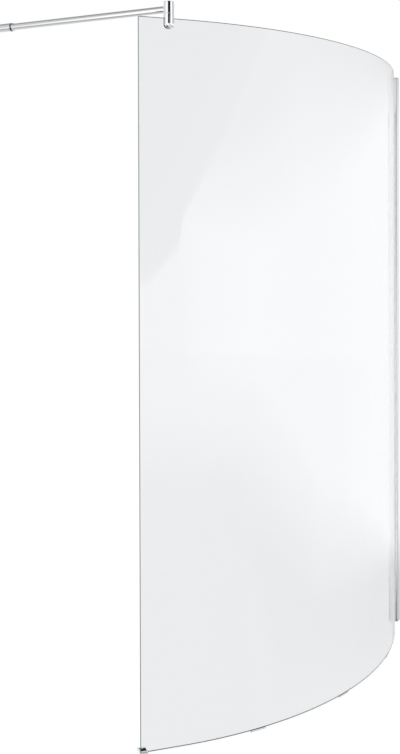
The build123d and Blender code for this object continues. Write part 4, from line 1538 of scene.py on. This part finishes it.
@dataclass(frozen=True)
class Reflections:
    """What shiny surfaces see of the studio, by compass direction and height in degrees.

    0 is along +X and 90 along +Y, so the camera stands near -63. The room is pale, with black
    flags beside the camera and one broad soft box, whose light the glass picks up.
    """

    walls: Stops = (
        (-180.0, 0.85), (-145.0, 0.85), (-140.0, 1.20), (-132.0, 1.20), (-128.0, 0.80), (-125.0, 0.80),
        (-115.0, 1.40), (-80.0, 1.30), (-60.0, 0.80), (-40.0, 0.60), (-34.0, 0.25), (-5.0, 0.25),
        (90.0, 0.85), (180.0, 0.85))
    by_height: Stops = ((-60.0, 0.50), (-25.0, 1.00), (5.0, 1.00), (60.0, 0.40))
    box_level: Stops = ((-36.0, 1.00), (-20.0, 1.60), (0.0, 1.80), (80.0, 1.10), (110.0, 1.00))
    box_least: Stops = ((-28.0, 0.60), (0.0, 0.35), (90.0, 0.85))
    rise: Stops = ((-20.0, 0.20), (20.0, 0.10))
    rise_from: float = 1.8
    foot_level: Stops = ((-28.0, 0.45), (0.0, 0.60), (30.0, 1.20))
    foot_height: float = -14.0
    foot_slope: float = 0.15
    box_top: Stops = ((-40.0, -5.0), (-28.0, -1.5), (-25.0, 2.0), (10.0, 13.0), (12.0, 30.0))
    box_foot: Stops = ((-40.0, -17.5), (-28.0, -17.0), (-15.0, -12.0), (-5.0, -13.0), (10.0, -22.0))
    foot_softness: Stops = ((-25.0, 0.5), (-5.0, 3.0))
    halo: Stops = ((0.0, 0.25), (6.0, 0.0))
    box_sides: tuple[float, float] = (-33.0, 110.0)
    upper_least: float = 0.70
    panels: tuple[Panel, ...] = (
        Panel((-118.0, -94.0), (-62.0, -17.3), 0.06),
        Panel((-153.0, -129.0), (-80.0, -22.0), 0.50, (4.0, 6.0)),
        Panel((-140.0, -76.0), (-72.0, -47.0), 0.10),
        Panel((-46.0, 110.0), (-100.0, -25.2), 0.80, (3.0, 0.4)),
        Panel((-190.0, 190.0), (-100.0, -72.0), 0.40),
        Panel((-79.5, -50.0), (10.8, 70.0), 0.02, (1.0, 0.6)),
        Panel((-50.0, -20.0), (11.2, 12.6), 0.22, (1.0, 0.4)),
        Panel((-55.0, -25.0), (12.6, 70.0), 0.02, (1.0, 0.3)))

    def level(self, graph: NodeGraph) -> bpy.types.NodeSocket:
        """Adds the nodes and returns the brightness in the ray's direction.

        Args:
            graph: The world's nodes.

        Returns:
            The brightness.
        """
        x, y, z = graph.split(graph.add("ShaderNodeTexCoord").outputs["Generated"])
        compass = graph.math("MULTIPLY", graph.math("ARCTAN2", y, x), 180.0 / math.pi)
        height = graph.math("MULTIPLY", graph.math("ARCSINE", z), 180.0 / math.pi)
        walls = graph.math("MULTIPLY", graph.ramp(compass, self.walls), graph.ramp(height, self.by_height))
        above = graph.math("SUBTRACT", height, graph.ramp(compass, self.box_top))
        outside = graph.math("ADD", walls, graph.ramp(above, self.halo))
        level = graph.blend(self.cover(graph, compass, height, above), outside,
                            self.box(graph, compass, height))
        for panel in self.panels:
            level = panel.over(graph, compass, height, level)
        return level

    def box(self, graph: NodeGraph, compass: Value, height: Value) -> bpy.types.NodeSocket:
        """The soft box's brightness: a level place that falls off upwards and downwards.

        Args:
            graph: The world's nodes.
            compass: The ray's direction round the compass.
            height: The ray's height.

        Returns:
            The brightness.
        """
        fall = graph.math("MULTIPLY", height, graph.ramp(compass, self.rise))
        upper = graph.math("MAXIMUM", graph.math("SUBTRACT", self.rise_from, fall), self.upper_least)
        under = graph.math("MULTIPLY", graph.math("SUBTRACT", height, self.foot_height), self.foot_slope)
        lower = graph.math("ADD", graph.ramp(compass, self.foot_level), under)
        either = graph.math("SMOOTH_MIN", upper, lower, 0.1)
        level = graph.math("SMOOTH_MIN", either, graph.ramp(compass, self.box_level), 0.1)
        return graph.math("MAXIMUM", level, graph.ramp(compass, self.box_least))

    def cover(self, graph: NodeGraph, compass: Value, height: Value, above: Value) -> bpy.types.NodeSocket:
        """How much the soft box covers the walls: 1 inside its borders.

        Args:
            graph: The world's nodes.
            compass: The ray's direction round the compass.
            height: The ray's height.
            above: Height above the box's upper border.

        Returns:
            The share.
        """
        below_top = graph.remap(above, -0.5, 0.5, 1.0, 0.0, smooth=True)
        drop = graph.math("SUBTRACT", height, graph.ramp(compass, self.box_foot))
        over = graph.math("DIVIDE", drop, graph.ramp(compass, self.foot_softness))
        above_foot = graph.remap(over, -1.0, 1.0, 0.0, 1.0, smooth=True)
        start, end = self.box_sides
        sides = graph.math("MULTIPLY", graph.remap(compass, start - 2.0, start + 2.0, 0.0, 1.0, smooth=True),
                           graph.remap(compass, end - 8.0, end + 8.0, 1.0, 0.0, smooth=True))
        return graph.math("MULTIPLY", graph.math("MULTIPLY", below_top, above_foot), sides)


@dataclass
class Studio:
    """Floor, world, lamps and camera."""

    floor_half: float = 9.0
    ambient: float = 0.74
    key_place: tuple[float, float, float] = (-2.2, -3.6, 4.2)
    key_size: float = 3.0
    key_power: float = 170.0
    strip_compass: float = -7.0
    strip_height: float = 13.0
    strip_distance: float = 3.0
    strip_size: tuple[float, float] = (1.8, 2.4)
    strip_level: float = 1.1
    camera_place: tuple[float, float, float] = (1.0026, -3.8175, 1.3605)
    camera_turn: tuple[float, float, float] = (25.28, -0.335, -0.170)
    lens: float = 50.0
    sensor: float = 36.0
    shift: float = -0.1568

    def build(self, target: Vector) -> None:
        """Sets up the studio.

        Args:
            target: The clamp, which the metal's own strip lamp lights.
        """
        self.floor()
        self.world()
        self.key(Vector((-0.2, -0.7, 1.0)))
        self.strip(target)
        self.camera()
        settings = bpy.context.scene.view_settings
        settings.view_transform = "Standard"

    def floor(self) -> None:
        """Lays the pale floor."""
        half = self.floor_half
        mesh = bpy.data.meshes.new("studio_floor")
        mesh.from_pydata([(-half, -half, 0), (half, -half, 0), (half, half, 0), (-half, half, 0)], [],
                         [(0, 1, 2, 3)])
        mesh.materials.append(StudioFloor("studio_floor", Slot.WHITE_PLASTIC).material())
        plane = bpy.data.objects.new("studio_floor", mesh)
        bpy.context.scene.collection.objects.link(plane)
        plane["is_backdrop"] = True

    def world(self) -> None:
        """White background, plain light, and a room for reflections."""
        world = bpy.data.worlds.new("studio")
        world.use_nodes = True
        world.node_tree.nodes.clear()
        graph = NodeGraph(world.node_tree)
        rays = graph.add("ShaderNodeLightPath")
        seen = graph.math("MAXIMUM", rays.outputs["Is Camera Ray"], rays.outputs["Is Transmission Ray"])
        reflected = graph.math("MINIMUM", rays.outputs["Glossy Depth"], 1.0)
        plain = graph.blend(seen, self.ambient, 1.0)
        light = graph.add("ShaderNodeBackground")
        graph.put(light.inputs["Strength"], graph.blend(reflected, plain, Reflections().level(graph)))
        graph.put(light.inputs["Color"], rgba((1.0, 1.0, 1.0)))
        output = graph.add("ShaderNodeOutputWorld")
        graph.put(output.inputs["Surface"], light.outputs[0])
        bpy.context.scene.world = world

    def key(self, target: Vector) -> None:
        """Hangs the broad key lamp, which reflections leave out."""
        lamp = self.lamp("key", Vector(self.key_place), target, (self.key_size, self.key_size),
                         self.key_power)
        lamp.visible_glossy = False

    def strip(self, target: Vector) -> None:
        """Stands the strip lamp that only the metal sees.

        Args:
            target: The point that it faces.
        """
        compass, height = math.radians(self.strip_compass), math.radians(self.strip_height)
        away = Vector((math.cos(compass) * math.cos(height), math.sin(compass) * math.cos(height),
                       math.sin(height)))
        wide, tall = self.strip_size
        power = math.pi * wide * tall * self.strip_level
        lamp = self.lamp("strip", target + away * self.strip_distance, target, self.strip_size, power)
        metal = bpy.data.collections.new("metal_pieces")
        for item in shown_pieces():
            if any(slot.material and slot.material.name == CHROME.name for slot in item.material_slots):
                metal.objects.link(item)
        lamp.light_linking.receiver_collection = metal

    @staticmethod
    def lamp(name: str, place: Vector, target: Vector, size: tuple[float, float],
             power: float) -> bpy.types.Object:
        """Adds one area lamp that faces a point.

        Args:
            name: Its name.
            place: Where it hangs.
            target: What it faces.
            size: Its width and height.
            power: Its power in watts.

        Returns:
            The lamp.
        """
        light = bpy.data.lights.new(name, "AREA")
        light.shape = "RECTANGLE"
        light.size, light.size_y = size
        light.energy = power
        lamp = bpy.data.objects.new(name, light)
        turn = (target - place).to_track_quat("-Z", "Y").to_matrix().to_4x4()
        lamp.matrix_world = Matrix.Translation(place) @ turn
        lamp.visible_camera = False
        bpy.context.scene.collection.objects.link(lamp)
        return lamp

    def camera(self) -> None:
        """Stands the camera where the photograph was taken."""
        data = bpy.data.cameras.new("camera")
        data.lens, data.sensor_width, data.shift_y = self.lens, self.sensor, self.shift
        data.clip_start, data.clip_end = 0.05, 60.0
        turn, pitch, roll = (math.radians(angle) for angle in self.camera_turn)
        rotation = (Matrix.Rotation(turn, 4, "Z") @ Matrix.Rotation(math.pi / 2 + pitch, 4, "X")
                    @ Matrix.Rotation(roll, 4, "Z"))
        camera = bpy.data.objects.new("camera", data)
        camera.matrix_world = Matrix.Translation(self.camera_place) @ rotation
        bpy.context.scene.collection.objects.link(camera)
        bpy.context.scene.camera = camera


def main() -> None:
    """Builds the sub-assemblies in order, then the studio."""
    logging.basicConfig(level=logging.INFO, format="%(name)s: %(message)s")
    rows = FastenerRow()
    clamp = GlassClamp()
    arm = StayArm(clamp=clamp)
    WallProfile().build(rows)
    GlassScreen().build()
    FloorBracket().build()
    clamp.build(rows)
    arm.build()
    CoverSleeve(arm=arm).build()
    Studio().build(Vector((clamp.axis.x, clamp.axis.y, clamp.top)))


if __name__ == "__main__":
    main()
